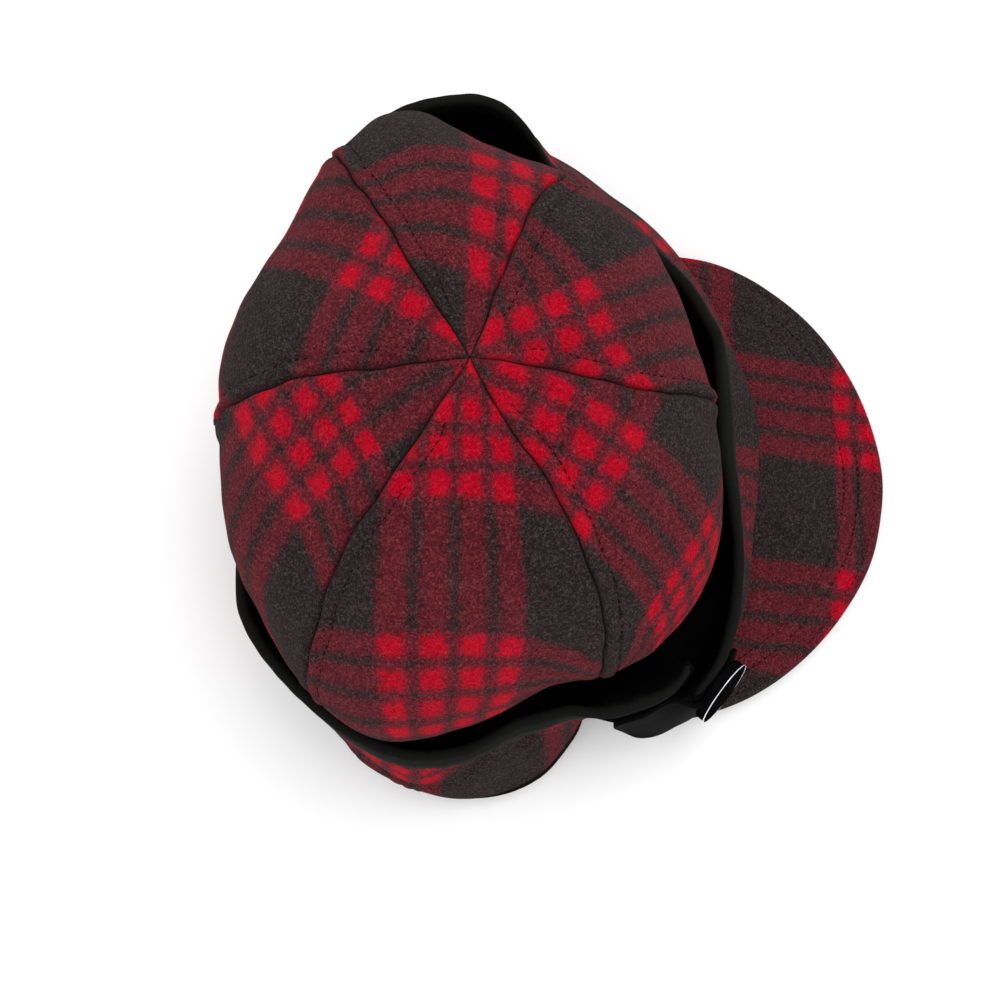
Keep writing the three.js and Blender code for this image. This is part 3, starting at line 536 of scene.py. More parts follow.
# Distances from a seam, in mm, of a panel's close columns beside it.
NEAR_SEAM = np.array([0, 0.1, 0.25, 0.5, 0.85, 1.3, 1.9, 2.7, 3.5, 4.2, 4.6, 5.0, 5.4, 5.8, 6.6, 7.6])
MIDDLE_COLUMNS = 58
PANEL_ROWS = np.concatenate([np.linspace(0, 1, 31)[:-1], np.linspace(1, CROWN_LAST_ROW, 96)])


def panel_width(index, rows):
    start, end = seam_line(index, rows), seam_line(index + 1, rows)
    _, reach = crown_surface(rows, (start + end) / 2)
    return np.radians(end - start) * reach


def panel_fractions(index, rows):
    """Column places of a panel, close together beside its seams."""
    width = panel_width(index, rows)[:, None]
    near = NEAR_SEAM * np.minimum(1, width / NARROW_PANEL) / width
    middle = np.linspace(0, 1, MIDDLE_COLUMNS + 2)[1:-1]
    centre = near[:, -1:] + (1 - 2 * near[:, -1:]) * middle
    return np.concatenate([near, centre, 1 - near[:, ::-1]], 1)


def panel_height(index, rows, fractions, distances, points):
    """Height of the cloth over the smooth crown: ridges, puff, seams, stitch lines and puckers."""
    climb = np.maximum(0, rows - 1)[:, None]
    swing = row_swing(rows)[:, None]
    keep = np.where(climb > 0, np.cos(np.pi / 2 * climb), 1.0)
    ridges = [SEAM_RIDGES[(index + side) % 6] * bell(d, SEAM_RIDGE_WIDTH) for side, d in enumerate(distances)]
    height = np.maximum(*ridges) * swing * keep**2
    fullness = np.sin(np.pi * np.minimum(1, 0.35 + 0.65 * climb)) * swing
    height += PANEL_PUFF * np.sin(np.pi * fractions) * fullness
    room = np.clip((distances[0] + distances[1]) / NARROW_PANEL, 0, 1)
    along = np.repeat(np.linspace(0, 165, len(rows))[:, None], fractions.shape[1], 1)
    for side, (distance, stitched) in enumerate(zip(distances, STITCHED[index])):
        inside = np.clip(SEAM_ROLL - distance, 0, SEAM_ROLL)
        roll = SEAM_ROLL - np.sqrt(np.maximum(0, SEAM_ROLL**2 - inside**2))
        height -= SEAM_DEPTH * roll * np.clip(room * 2, 0.3, 1)
        wave = np.sin(along / 1.15 + 2.1 * index + side) * np.sin(along / 3.7 + 1.3 * index)
        wave += 0.7 * np.sin(along / 2.3 + 1.7 * index) * np.sin(along / 7.9 + side)
        if stitched:
            height += 0.55 * smooth(distance, 0.2, 1.6) * (1 - smooth(distance, 4.2, 5.6)) * room
            height -= 0.45 * bell(distance - STITCH_LINE, 0.8) * room
            height += 0.26 * wave * bell(distance - 3.4, 2.6) * room
        else:
            height -= 0.35 * bell(distance, 2.6) * room
            height += 0.5 * bell(distance - 4.0, 2.4) * room
            height += 0.22 * wave * bell(distance - 2.5, 2.2) * room
    nearest = np.minimum(*distances)
    height += 0.5 * undulation(points, 46) * swing * room * smooth(nearest, 0, 6)
    height += 0.2 * undulation(points, 15) * swing * room * smooth(nearest, 0, 3)
    return height


def panel_surface(index, rows, fractions):
    """Smooth crown points of a panel's grid, their normals, and the cloth's height over them."""
    start = seam_line(index, rows)[:, None]
    end = seam_line(index + 1, rows)[:, None]
    angle = start + (end - start) * fractions
    grid_rows = np.repeat(rows[:, None], fractions.shape[1], 1)
    points, reach = crown_surface(grid_rows, angle)
    width = np.radians(end - start) * reach
    height = panel_height(index, rows, fractions, (fractions * width, (1 - fractions) * width), points)
    return points, crown_normal(grid_rows, angle), height


def close_apex(points, rows):
    """Points drawn in to the crown's very top, where the panels meet in one spot."""
    share = smooth(rows, *APEX_ROWS).reshape((-1,) + (1,) * (points.ndim - 1))
    top = np.array([*CROWN_TOP, 0.0])
    drawn = points - (points - top) * np.array([1.0, 1.0, 0.0]) * share
    return drawn - np.array([0, 0, APEX_DROP]) * share


def crown_panel(index, name):
    points, normals, height = panel_surface(index, PANEL_ROWS, panel_fractions(index, PANEL_ROWS))
    depth = np.minimum(np.maximum(height, -0.7) - WOOL_THICKNESS, height - THINNEST_WOOL)
    outer, inner = (close_apex(points + normals * level[..., None], PANEL_ROWS) for level in (height, depth))
    uv = plaid_uv(CHECK_PLACES[name], *panel_cloth(index, points, PANEL_ROWS))
    return shell(f"wool_panel_{name}", outer, inner, uv)


def stitch_path(index, side):
    """Line of a panel's topstitching on its finished surface, with the outward direction."""
    rows = np.linspace(*STITCH_ROWS, 700)
    width = panel_width(index, rows)
    share = STITCH_LINE * np.minimum(1, width / NARROW_PANEL) / width
    points, normals, height = panel_surface(index, rows, (share if side == 0 else 1 - share)[:, None])
    return (points + normals * height[..., None])[:, 0], normals[:, 0]


def stitches(name, paths):
    """Row of separate short thread stitches along each path, all in one mesh."""
    points, faces, uv = [], [], []
    rings = len(STITCH_RINGS)
    t = np.linspace(0, 1, rings)
    dive = STITCH_DIVE * (2 * np.abs(t - 0.5)) ** 4
    for path, normals in paths:
        distance = path_length(path)
        for k in range(int(distance[-1] / STITCH_PITCH)):
            s = k * STITCH_PITCH + np.linspace(0, STITCH_LENGTH, rings)
            line, up = (np.stack([np.interp(s, distance, v[:, c]) for c in range(3)], -1) for v in (path, normals))
            up = unit(up)
            line = line + up * (STITCH_LIFT - dive)[:, None]
            faces += strand_faces(rings, STITCH_SIDES, len(points) * rings * STITCH_SIDES)
            strand, turn = strand_points(line, up, STITCH_RADIUS * np.array(STITCH_RINGS), STITCH_SIDES)
            points.append(strand)
            uv.append(uv_grid(t * 0.3, turn / (2 * np.pi)))
    return new_mesh(name, np.concatenate(points), faces, np.concatenate(uv))


# Soft fold lines of the earflap as points along and up the cloth.
FLAP_CREASES = [
    ((140, -24), (118, -20), (99, -11), (86, -2), (81, 8), (78, 12)),
    ((74, -4), (67, 4), (60, 12)),
]


def flap_creases(x, y):
    """Low ridges with a hollow beside them where the turned-up flap has buckled."""
    height = np.zeros_like(x)
    for crease in FLAP_CREASES:
        line = np.array(crease, float)
        nearest = np.full(x.shape, 1e3)
        for a, b in zip(line[:-1], line[1:]):
            along = b - a
            t = np.clip(((x - a[0]) * along[0] + (y - a[1]) * along[1]) / (along @ along), 0, 1)
            nearest = np.minimum(nearest, np.hypot(x - a[0] - t * along[0], y - a[1] - t * along[1]))
        inside = smooth(x, line[-1, 0] - 6, line[-1, 0] + 4) * (1 - smooth(x, line[0, 0] - 8, line[0, 0] + 2))
        height += (1.5 * bell(nearest, 1.8) - 0.9 * bell(nearest - 4.6, 2.4)) * inside
    return height


def ear_band_check(x, y):
    """Height on the ear band as the check has it: drawn out over the earflap, and moved up behind it."""
    flap = (y + 10.0) / 1.15 - 4.0
    behind = y + 26.0
    return flap + (behind - flap) * smooth(x, 84, 112)


def band_piece(table, name, steps):
    """Wool of a turned-up band, and the lining behind it."""
    outer = band_grid(table, band_angles(table, steps), BAND_TUCK)
    normals = grid_normals(outer)
    x, y = cloth_lengths(outer, CLOTH_ROW)
    share = np.linspace(0, 1, len(outer))[:, None]
    free = smooth(share, 0.3, 0.5) * (1 - smooth(share, 0.70, 0.86))
    pull = bell(share - 0.80, 0.10) * (1 - smooth(share, 0.84, 0.90))
    height = 0.6 * undulation(outer, 38) * free + 0.18 * undulation(outer, 13) * free
    height += 0.22 * np.sin(x / 1.25 + 2 * np.sin(x / 9)) * pull
    check_y = y
    if table is EAR_BAND:
        height += flap_creases(x, y)
        check_y = ear_band_check(x, y)
    outer = outer + normals * height[..., None]
    uv = plaid_uv(CHECK_PLACES[name], x, check_y)
    wool = shell(f"wool_{name}", outer, outer - normals * BAND_WOOL_THICKNESS, uv)
    start = BAND_WOOL_THICKNESS + 0.15
    folds = 0.25 * undulation(outer, 22) + 0.12 * np.sin(x / 1.6 + 1.5 * np.sin(x / 11)) * pull
    back = outer - normals * (start + BAND_LINING_THICKNESS + folds[..., None])
    lining = shell(f"lining_{name}", outer - normals * start, back, np.stack([x, y], -1) * PLAIN_UV)
    return wool, lining


def binding_piece(table, name, steps):
    """Tape folded over the band's top edge, with rounded lips, uneven along it and tapered at the lap."""
    angles = band_angles(table, steps)
    *_, rise, top = band_lines(table, angles)
    out = BINDING_OVERHANG
    depth = BAND_WOOL_THICKNESS + GAP + BAND_LINING_THICKNESS + BINDING_OVERHANG
    foot = -BINDING_HEIGHT
    middle, half = (depth - out) / 2, (depth + out) / 2
    lip = [(0.5, foot + 0.1), (0.1, foot + 0.1), (0, foot + 0.5), (0, foot * 0.75), (0, foot * 0.5)]
    fold = [(middle + half * math.cos(t), -2.0 + 2.0 * math.sin(t)) for t in np.linspace(np.pi, 0, 13)]
    profile = np.array([(x - out, y) for x, y in lip] + fold + [(depth - x, y) for x, y in lip[::-1]])
    step = np.hypot(np.diff(top[:, 0]), np.radians(np.diff(angles)) * top[:-1, 0])
    length = np.concatenate([[0.0], np.cumsum(step)])
    swell = 1 + 0.03 * np.sin(length / 1.7 + 2 * np.sin(length / 13)) + 0.02 * np.sin(length / 9.3)
    from_end = length if table is EAR_BAND else length[-1] - length
    taper = np.sqrt(np.clip(1 - (1 - np.clip(from_end / 7.0, 0, 1)) ** 2, 0.02, 1))
    swell = swell * np.clip(from_end / 2.0, 0.35, 1) * (0.62 + 0.38 * smooth(from_end, 2, 26))
    inward = middle + (profile[:, 0] - middle)[None] * swell[:, None]
    up = profile[None, :, 1] * taper[:, None] - BINDING_HEIGHT * 0.5 * (1 - taper)[:, None]
    radius = top[:, :1] + rise[:, :1] * up - rise[:, 1:] * inward
    height = top[:, 1:] + rise[:, 1:] * up + rise[:, :1] * inward
    points = polar(angles[:, None], radius, height)
    uv = uv_grid(length * PLAIN_UV, path_length(profile) * PLAIN_UV)
    return new_mesh(f"binding_{name}", points, strand_faces(*points.shape[:2]), uv)


def end_tape(table, name, first, last):
    """Tape folded round the raw end of a band, from its foot to its top edge."""
    face = band_grid(table, np.linspace(first, last, 14 + int(2 * (last - first))), END_TAPE_TUCK)
    normals = grid_normals(face)
    depth = BAND_WOOL_THICKNESS + GAP + BAND_LINING_THICKNESS
    x, y = cloth_lengths(face, CLOTH_ROW)
    near = np.minimum(x, x[:, -1:] - x)
    soft = 0.5 * np.clip(1 - near / 0.9, 0, 1)[..., None] ** 2
    outer = face + normals * (0.7 - soft)
    inner = face - normals * (depth + 0.55 - soft)
    return shell(f"binding_end_{name}", outer, inner, np.stack([x, y], -1) * PLAIN_UV)


def gutter_lining(table, name, first, last, steps):
    """Lining in the bottom of the hollow between the crown's foot and the turned-up band."""
    angles = np.linspace(first, last, steps)
    foot = CROWN.read("ring", angles) + FOOT_CLEARANCE
    place = polar(angles, foot, 0.0)
    height = support_height(place[:, 0], place[:, 1]) + BAND_FLOOR + GUTTER_HEIGHT
    row = np.minimum(1, height / CROWN.read("height", angles))
    near = np.minimum(foot - 0.4, crown_surface(row, angles)[1] + 0.9)
    far = foot + lap_shift(table, angles) + GUTTER_REACH
    share = np.linspace(0, 1, 14)[:, None]
    face = polar(angles[None], near + (far - near) * share, 0.0)
    face[..., 2] = height + 0.25 * undulation(face, 9) + 0.8 * (share - 0.5) ** 2
    back = face - np.array([0, 0, GUTTER_THICKNESS])
    return shell(f"lining_gutter_{name}", face, back, face[..., :2] * PLAIN_UV)


def peak_piece():
    """Peak as one closed cloth-covered board with a rounded edge."""
    angles = np.linspace(-PEAK_END_ANGLE, PEAK_END_ANGLE, 181)
    share = np.linspace(0, 1, 64)
    top = peak_point(angles[:, None], share[None])
    down = np.array([0, 0, -1.0])
    outward = unit(top[:, -1] - top[:, -2])[:, None]
    half = PEAK_THICKNESS / 2
    turn = np.linspace(0, np.pi, PEAK_RIM_STEPS)[None, :, None]
    centre = top[:, -1:] - outward * half + down * half
    rim = centre + outward * (half * np.sin(turn)) - down * (half * np.cos(turn))
    drawn_in = outward * (half * smooth(share, 0.7, 1.0))[None, :, None]
    face = top - drawn_in
    _, edge = peak_root_and_edge(angles)
    inset = (edge - np.linalg.norm(top[..., :2], axis=-1)[:, -1])[:, None]
    inset = inset + np.linalg.norm(top - top[:, -1:], axis=-1)
    groove = sum(0.32 * bell(inset - row, 0.75) for row in PEAK_STITCH_ROWS)
    ripple = 0.25 * undulation(face, 34) + 0.1 * undulation(face, 12)
    wave = 0.08 * np.sin(np.radians(angles)[:, None] * 140 / 1.1)
    wave = wave * smooth(inset, 2, 5) * (1 - smooth(inset, 16, 24))
    face[..., 2] += (ripple + wave - groove) * smooth(inset, 0.5, 4)
    under = (top - drawn_in)[:, ::-1] + down * PEAK_THICKNESS
    points = np.concatenate([face[:, :-1], rim, under[:, 1:]], 1)
    # The board thins towards its two rear corners, about its middle height.
    level = top[..., 2]
    base = np.concatenate([level[:, :-1], np.repeat(level[:, -1:], PEAK_RIM_STEPS, 1), level[:, -2::-1]], 1) - half
    ends = np.clip((PEAK_END_ANGLE - np.abs(angles)) / 2.2, 0, 1)
    ends = np.sqrt(np.maximum(0.02, 1 - (1 - ends) ** 2))[:, None]
    points[..., 2] = base + (points[..., 2] - base) * ends
    uv = plaid_uv(CHECK_PLACES["peak"], points[..., 0], -points[..., 1])
    return new_mesh("wool_peak", points, strand_faces(*points.shape[:2]), uv)


def peak_stitch_paths():
    angles = np.linspace(-PEAK_STITCH_END, PEAK_STITCH_END, 900)
    root, edge = peak_root_and_edge(angles)
    upward = np.tile([0.0, 0.0, 1.0], (len(angles), 1))
    sunk = np.array([0, 0, 0.2])
    return [(peak_point(angles, (edge - row - root) / (edge - root)) - sunk, upward) for row in PEAK_STITCH_ROWS]


def peak_end_tape():
    """Tape over the peak's rear corner, and on under the tab, where the peak shows beside the tab."""
    angles = np.linspace(44, PEAK_END_ANGLE + 0.3, 60)
    held = np.minimum(angles, PEAK_END_ANGLE)
    ring = CROWN.read("ring", angles)
    root = ring - PEAK_TUCK
    _, edge = peak_root_and_edge(held)
    under_tab = TAB.read("low", angles) - 1.5
    first = (ring + 1.0 - root) / (edge - root)
    last = (under_tab + (edge + 0.5 - under_tab) * smooth(angles, 56.5, 58.5) - root) / (edge - root)
    face = peak_point(held[None], first + (last - first) * np.linspace(0, 1, 20)[:, None])
    lift = np.array([0, 0, 0.35])
    back = face - np.array([0, 0, PEAK_THICKNESS]) - lift
    return shell("binding_peak_end", face + lift, back, face[..., :2] * PLAIN_UV)


def tab_piece():
    """Rounded tab as one closed form with soft edges and a stitched line inside them."""
    steps, columns = 90, 33
    first, last = TAB.angle[0], TAB.angle[-1]
    angles = first + (last - first) * (1 - np.cos(np.linspace(0, np.pi, steps))) / 2
    tail = np.sqrt(np.clip(1 - (np.maximum(0, angles - TAB_TAIL) / (last - TAB_TAIL)) ** 2.4, 0.0004, 1))
    width = np.minimum(TAB.read("width", np.minimum(angles, TAB_TAIL)), tail)
    t = np.sin(np.linspace(-np.pi / 2, np.pi / 2, columns)) / 2
    face = tab_point(angles[None], 0.5 + t[:, None] * width[None])
    normals = grid_normals(face)
    x, y = cloth_lengths(face, columns // 2)
    near = np.minimum(np.minimum(y[-1] - y, y - y[0]), np.minimum(x, x[:, -1:] - x))
    inside = np.clip(TAB_ROUND - near, 0, TAB_ROUND)
    round_off = TAB_ROUND - np.sqrt(np.maximum(0, TAB_ROUND**2 - inside**2))
    dip = 0.2 * bell(near - 2.4, 0.5) - 0.12 * undulation(face, 14)
    outer = face - normals * (round_off + dip * smooth(near, 0.8, 2))[..., None]
    inner = face - normals * (TAB_THICKNESS - round_off)[..., None]
    return shell("tab_side", outer, inner, np.stack([x, y], -1) * PLAIN_UV)


def lathe(name, profile, seat, outward, sides=96):
    """Turned solid from (radius, height) points, standing on seat along outward."""
    profile = np.array(profile, float)
    count = len(profile)
    turn = np.linspace(0, 2 * np.pi, sides, endpoint=False)
    across = unit(np.cross(outward, [0.0, 0.0, 1.0]))
    upward = np.cross(across, outward)
    ring = across * np.cos(turn)[:, None] + upward * np.sin(turn)[:, None]
    points = seat + ring[:, None] * profile[None, :, :1] + outward * profile[None, :, 1:]
    j = np.arange(count - 1)
    last = (sides - 1) * count
    faces = grid_faces(sides, count, flip=True) + np.stack([last + j + 1, j + 1, j, last + j], -1).tolist()
    obj = new_mesh(name, points, faces, uv_grid(np.arange(sides) / sides, np.arange(count) / count))
    welded = bmesh.new()
    welded.from_mesh(obj.data)
    bmesh.ops.remove_doubles(welded, verts=welded.verts, dist=1e-7)
    bmesh.ops.recalc_face_normals(welded, faces=welded.faces)
    welded.to_mesh(obj.data)
    welded.free()
    return obj


def snap_seat():
    """Middle of the snap's back, just clear of the tab, and the way that it faces."""
    along = tab_point(SNAP_ANGLE + SNAP_SPAN, 0.5) - tab_point(SNAP_ANGLE - SNAP_SPAN, 0.5)
    upward = tab_point(SNAP_ANGLE, 0.8) - tab_point(SNAP_ANGLE, 0.2)
    outward = unit(unit(np.cross(upward, along)) + np.array([0, 0, SNAP_TILT]))
    return tab_point(SNAP_ANGLE, 0.5) + outward * (GAP + SNAP_LIFT), outward


def snap_pieces():
    seat, outward = snap_seat()
    radius, foot, rise = SNAP_DOME
    dome = [(radius * math.cos(a) ** 0.72, foot + rise * math.sin(a)) for a in np.linspace(0.06, np.pi / 2, 26)]
    cap = lathe("snap_dome", SNAP_BODY + dome[:-1] + [(0, foot + rise)], seat, outward)
    radius, middle, wire = RING_WIRE
    ring = [(radius + wire * math.cos(a), middle + wire * math.sin(a)) for a in np.linspace(0, 2 * np.pi, 19)]
    return cap, lathe("snap_ring", ring, seat, outward)


def hem_piece():
    """Thin tape along the flap's lower fold, slenderer towards the back and pointed at both ends."""
    angles = np.linspace(*HEM_ANGLES, 90)
    _, fold, bend, floor, *_ = band_lines(EAR_BAND, angles)
    slender = 1 - 0.75 * smooth(angles, 79, 90)
    path = polar(angles, fold - 0.5 + slender, floor + bend - 0.6)
    place = np.arange(len(angles))
    taper = np.clip(np.minimum(place, place[::-1]) / 4 + 0.25, 0, 1)
    outward = unit(polar(angles, 1.0, 0.0))
    points, turn = strand_points(path, outward, HEM_RADIUS * (taper * slender), HEM_SIDES, HEM_FLATNESS)
    uv = uv_grid(path_length(path) * PLAIN_UV, turn / (2 * np.pi))
    return new_mesh("hem_flap", points, strand_faces(len(path), HEM_SIDES), uv)


class Graph:
    """A new material, with short calls for building its nodes."""

    def __init__(self, name):
        self.material = bpy.data.materials.new(name)
        self.material.use_nodes = True
        self.tree = self.material.node_tree

    def put(self, socket, value):
        if isinstance(value, bpy.types.NodeSocket):
            self.tree.links.new(value, socket)
        else:
            socket.default_value = value

    def fill(self, node, inputs):
        for key, value in inputs.items():
            self.put(node.inputs[key], value)

    def node(self, kind, inputs=(), **values):
        """New node with its values set; inputs maps names or numbers of its sockets to what goes in."""
        node = self.tree.nodes.new(kind)
        for key, value in values.items():
            setattr(node, key, value)
        self.fill(node, dict(inputs))
        return node

    def math(self, operation, a, b=0.0, clamp=False):
        return self.node("ShaderNodeMath", {0: a, 1: b}, operation=operation, use_clamp=clamp).outputs[0]

    def add(self, a, b, clamp=False):
        return self.math("ADD", a, b, clamp)

    def subtract(self, a, b, clamp=False):
        return self.math("SUBTRACT", a, b, clamp)

    def multiply(self, a, b, clamp=False):
        return self.math("MULTIPLY", a, b, clamp)

    def shifted(self, vector, by):
        return self.node("ShaderNodeVectorMath", {0: vector, 1: by}, operation="ADD").outputs[0]

    def mix(self, factor, a, b, kind="RGBA", blend="MIX"):
        first, out = {"VECTOR": (4, 1), "RGBA": (6, 2)}[kind]
        inputs = {0: factor, first: a, first + 1: b}
        return self.node("ShaderNodeMix", inputs, data_type=kind, blend_type=blend).outputs[out]

    def noise(self, vector, scale, detail=2.0, roughness=0.5, out="Fac"):
        inputs = {"Vector": vector, "Scale": scale, "Detail": detail, "Roughness": roughness}
        return self.node("ShaderNodeTexNoise", inputs).outputs[out]

    def ramp(self, value, stops, interpolation="EASE"):
        node = self.node("ShaderNodeValToRGB", {0: value})
        node.color_ramp.interpolation = interpolation
        elements = node.color_ramp.elements
        while len(elements) > 1:
            elements.remove(elements[-1])
        elements[0].position = stops[0][0]
        elements[0].color = (stops[0][1],) * 3 + (1,)
        for place, level in stops[1:]:
            elements.new(place).color = (level,) * 3 + (1,)
        return node.outputs[0]

    def uv(self):
        return self.node("ShaderNodeUVMap", uv_map="cloth").outputs[0]

    def place(self):
        return self.node("ShaderNodeTexCoord").outputs["Object"]

    def parts(self, vector):
        return self.node("ShaderNodeSeparateXYZ", {0: vector}).outputs

    def surface(self, inputs, height=None, strength=0.0, distance=0.0):
        """The material with its surface's inputs set, and bumps from a height."""
        shader = self.tree.nodes["Principled BSDF"]
        self.fill(shader, inputs)
        if height is not None:
            bump = self.node("ShaderNodeBump", {"Strength": strength, "Distance": distance, "Height": height})
            self.put(shader.inputs["Normal"], bump.outputs[0])
        return self.material


# The check along one direction, in repeats: bands and their pitch, soft edges and the colour between bands.
CHECK_BANDS = 4
CHECK_BAND_HALF = 0.0465
CHECK_PITCH = 11.5 / CHECK_REPEAT
CHECK_SOFT = 0.022
CHECK_GAP = 0.10
CHECK_START = 0.1


def check_stops():
    """Ramp stops of the check along one direction: four bands, with paler gaps between them."""
    stops = [(0.0, 0.0)]
    for k in range(CHECK_BANDS):
        centre = CHECK_START + k * CHECK_PITCH
        before = 0.0 if k == 0 else CHECK_GAP
        after = 0.0 if k == CHECK_BANDS - 1 else CHECK_GAP
        stops += [
            (centre - CHECK_BAND_HALF - CHECK_SOFT, before), (centre - CHECK_BAND_HALF + CHECK_SOFT, 1.0),
            (centre + CHECK_BAND_HALF - CHECK_SOFT, 1.0), (centre + CHECK_BAND_HALF + CHECK_SOFT, after),
        ]
    return stops


def fibres(g, place, scale, sharpness, seed, cover, curl=0.0012):
    """Tangle of thin curly lines: where a noise passes its middle value, broken up by another noise."""
    moved = g.shifted(place, seed)
    bend = {0: g.noise(moved, scale * 1.7, 1, out="Color"), "Scale": curl}
    warped = g.shifted(moved, g.node("ShaderNodeVectorMath", bend, operation="SCALE").outputs[0])
    level = g.noise(warped, scale, 1, 0.5)
    line = g.multiply(g.math("ABSOLUTE", g.subtract(level, 0.5)), sharpness)
    line = g.subtract(1.0, line, clamp=True)
    gate = g.ramp(g.noise(moved, scale * 0.8, 2, 0.6), [(0.0, 0.0), (cover, 0.0), (cover + 0.09, 1.0)])
    return g.multiply(line, gate)


# Colours of the wool: its ground, one band, two bands crossed, and the flecks and hairs on ground and red.
CHARCOAL = (0.0240, 0.0155, 0.0155, 1)
MAROON = (0.128, 0.0115, 0.0205, 1)
RED = (0.545, 0.0008, 0.0175, 1)
CHARCOAL_FLECK = (0.115, 0.088, 0.088, 1)
RED_FLECK = (0.60, 0.014, 0.036, 1)
CHARCOAL_HAIR = (0.16, 0.12, 0.12, 1)
RED_HAIR = (0.75, 0.09, 0.11, 1)


def wool_material():
    """Brushed wool in a check of red over charcoal, with woolly edges, tangled nap and stray hairs."""
    g = Graph("wool_plaid_cloth")
    place = g.place()
    parts = g.parts(g.uv())
    levels = []
    for axis, seed in ((0, 0.0), (1, 7.3)):
        moved = g.shifted(place, (seed, seed * 0.37, 0))
        coarse = g.multiply(g.subtract(g.noise(moved, 300, 2), 0.5), 0.050)
        fine = g.multiply(g.subtract(g.noise(moved, 1100, 2), 0.5), 0.060)
        start = g.add(parts[axis], CHECK_START)
        levels.append(g.ramp(g.math("FRACT", g.add(start, g.add(coarse, fine))), check_stops()))
    both = g.math("POWER", g.multiply(*levels), 2.2)
    either = g.add(*levels)
    fleck = g.noise(place, 1900, 2, 0.7)
    felt = g.noise(place, 900, 3, 0.7)
    tangle = g.add(fibres(g, place, 820, 13.0, (0, 0, 0), 0.36), fibres(g, place, 1250, 11.0, (3, 1, 2), 0.40))
    grain = g.add(g.subtract(fleck, 0.5), g.subtract(felt, 0.5))
    grain = g.add(g.multiply(grain, 2.6), g.multiply(g.subtract(tangle, 0.35), 0.9))
    single = g.multiply(either, g.add(0.245, g.multiply(grain, 0.20)))
    red = g.add(single, g.multiply(both, 0.46), clamp=True)
    maroon = g.multiply(either, g.add(0.92, g.multiply(grain, 0.35)), clamp=True)
    colour = g.mix(both, g.mix(maroon, CHARCOAL, MAROON), RED)
    patch = g.noise(place, 38, 3, 0.55)
    tone = g.add(0.72, g.add(g.multiply(patch, 0.46), g.multiply(grain, 0.50)))
    colour = g.mix(1.0, colour, g.math("MAXIMUM", tone, 0.22), blend="MULTIPLY")
    light = g.ramp(g.add(0.5, g.multiply(grain, 0.5)), [(0.0, 0.0), (0.62, 0.0), (1.0, 1.0)], "LINEAR")
    colour = g.mix(g.multiply(light, 0.62), colour, g.mix(red, CHARCOAL_FLECK, RED_FLECK))
    long_hairs = fibres(g, place, 300, 60.0, (5, 2, 8), 0.53, 0.004)
    strays = g.math("MAXIMUM", long_hairs, fibres(g, place, 520, 42.0, (9, 4, 1), 0.52, 0.003))
    colour = g.mix(g.multiply(strays, 0.30), colour, g.mix(red, CHARCOAL_HAIR, RED_HAIR))
    height = g.add(g.multiply(felt, 0.8), g.multiply(fleck, 0.4))
    height = g.add(height, g.multiply(tangle, 0.35))
    return g.surface({
        "Base Color": colour, "Roughness": 0.95, "Specular IOR Level": 0.03,
        "Sheen Weight": 0.045, "Sheen Roughness": 0.3, "Sheen Tint": (1.0, 0.80, 0.80, 1),
    }, height, 0.9, 0.0009)


def cloth_material(name, colour, light, scale, sheen, bump, roughness=0.7, ribs=None, lip=None):
    """Black cloth with a fine weave or ribs, worn slightly paler on its raised threads, and a painted highlight
    along its lip.
    """
    g = Graph(name)
    uv, place = g.uv(), g.place()
    fine = g.noise(place, scale, 2, 0.6)
    soft = g.noise(place, 60, 3, 0.5)
    height = fine
    if ribs:
        wobble = g.mix(0.012, uv, g.noise(place, 500, 2, out="Color"), "VECTOR")
        inputs = {"Vector": wobble, "Scale": ribs, "Distortion": 0.4}
        wave = g.node("ShaderNodeTexWave", inputs, wave_type="BANDS", bands_direction="X")
        height = g.add(g.multiply(wave.outputs["Fac"], 0.8), g.multiply(fine, 0.5))
    amount = g.add(g.multiply(height, 0.6), g.multiply(soft, 0.6))
    base = g.mix(g.multiply(amount, 0.75, clamp=True), colour, light)
    # Painted highlight: a thin paler line in the lip colour where the cloth's second UV coordinate starts.
    if lip:
        painted_highlight = g.ramp(g.parts(uv)[1], [(0.0, 1.0), (0.018, 1.0), (0.040, 0.0)])
        base = g.mix(g.multiply(painted_highlight, g.add(0.55, g.multiply(soft, 0.8)), clamp=True), base, lip)
    return g.surface({
        "Base Color": base, "Roughness": roughness, "Specular IOR Level": 0.02,
        "Sheen Weight": sheen, "Sheen Roughness": 0.4,
    }, height, bump, 0.0003)


def hard_material(name, colour, metallic, specular, roughness, marks):
    """Polished surface with faint handling marks in its gloss."""
    g = Graph(name)
    place = g.place()
    smudge = g.noise(place, 190, 3, 0.6)
    paler = tuple(min(1, 1.25 * c + 0.002) for c in colour[:3]) + (1,)
    return g.surface({
        "Base Color": g.mix(g.noise(place, 420, 2), colour, paler), "Metallic": metallic,
        "Roughness": g.add(roughness, g.multiply(smudge, marks)), "Specular IOR Level": specular,
    }, smudge, 0.05, 0.0001)


WOOL = wool_material()
LINING = cloth_material(
    "lining_cloth", (0.0006, 0.0006, 0.0009, 1), (0.0022, 0.0022, 0.0036, 1), 1800, 0.003, 0.35)
# The tape's lip colour is its painted highlight along the binding's lip and the hem.
TAPE = cloth_material(
    "binding_tape", (0.0050, 0.0052, 0.0050, 1), (0.0115, 0.0120, 0.0112, 1), 2600, 0.004, 0.6,
    ribs=62.0, lip=(0.021, 0.022, 0.020, 1))
TAB_CLOTH = cloth_material(
    "tab_cloth", (0.0008, 0.0008, 0.0009, 1), (0.0034, 0.0035, 0.0038, 1), 2200, 0.003, 0.6)
THREAD = cloth_material(
    "stitch_thread", (0.006, 0.0022, 0.0028, 1), (0.018, 0.005, 0.006, 1), 3000, 0.02, 0.4, roughness=0.8)
GLOSS = hard_material("snap_gloss", (0.002, 0.002, 0.0025, 1), 0.0, 0.0, 0.08, 0.06)
CHROME = hard_material("snap_chrome", (0.72, 0.73, 0.74, 1), 1.0, 0.5, 0.12, 0.10)


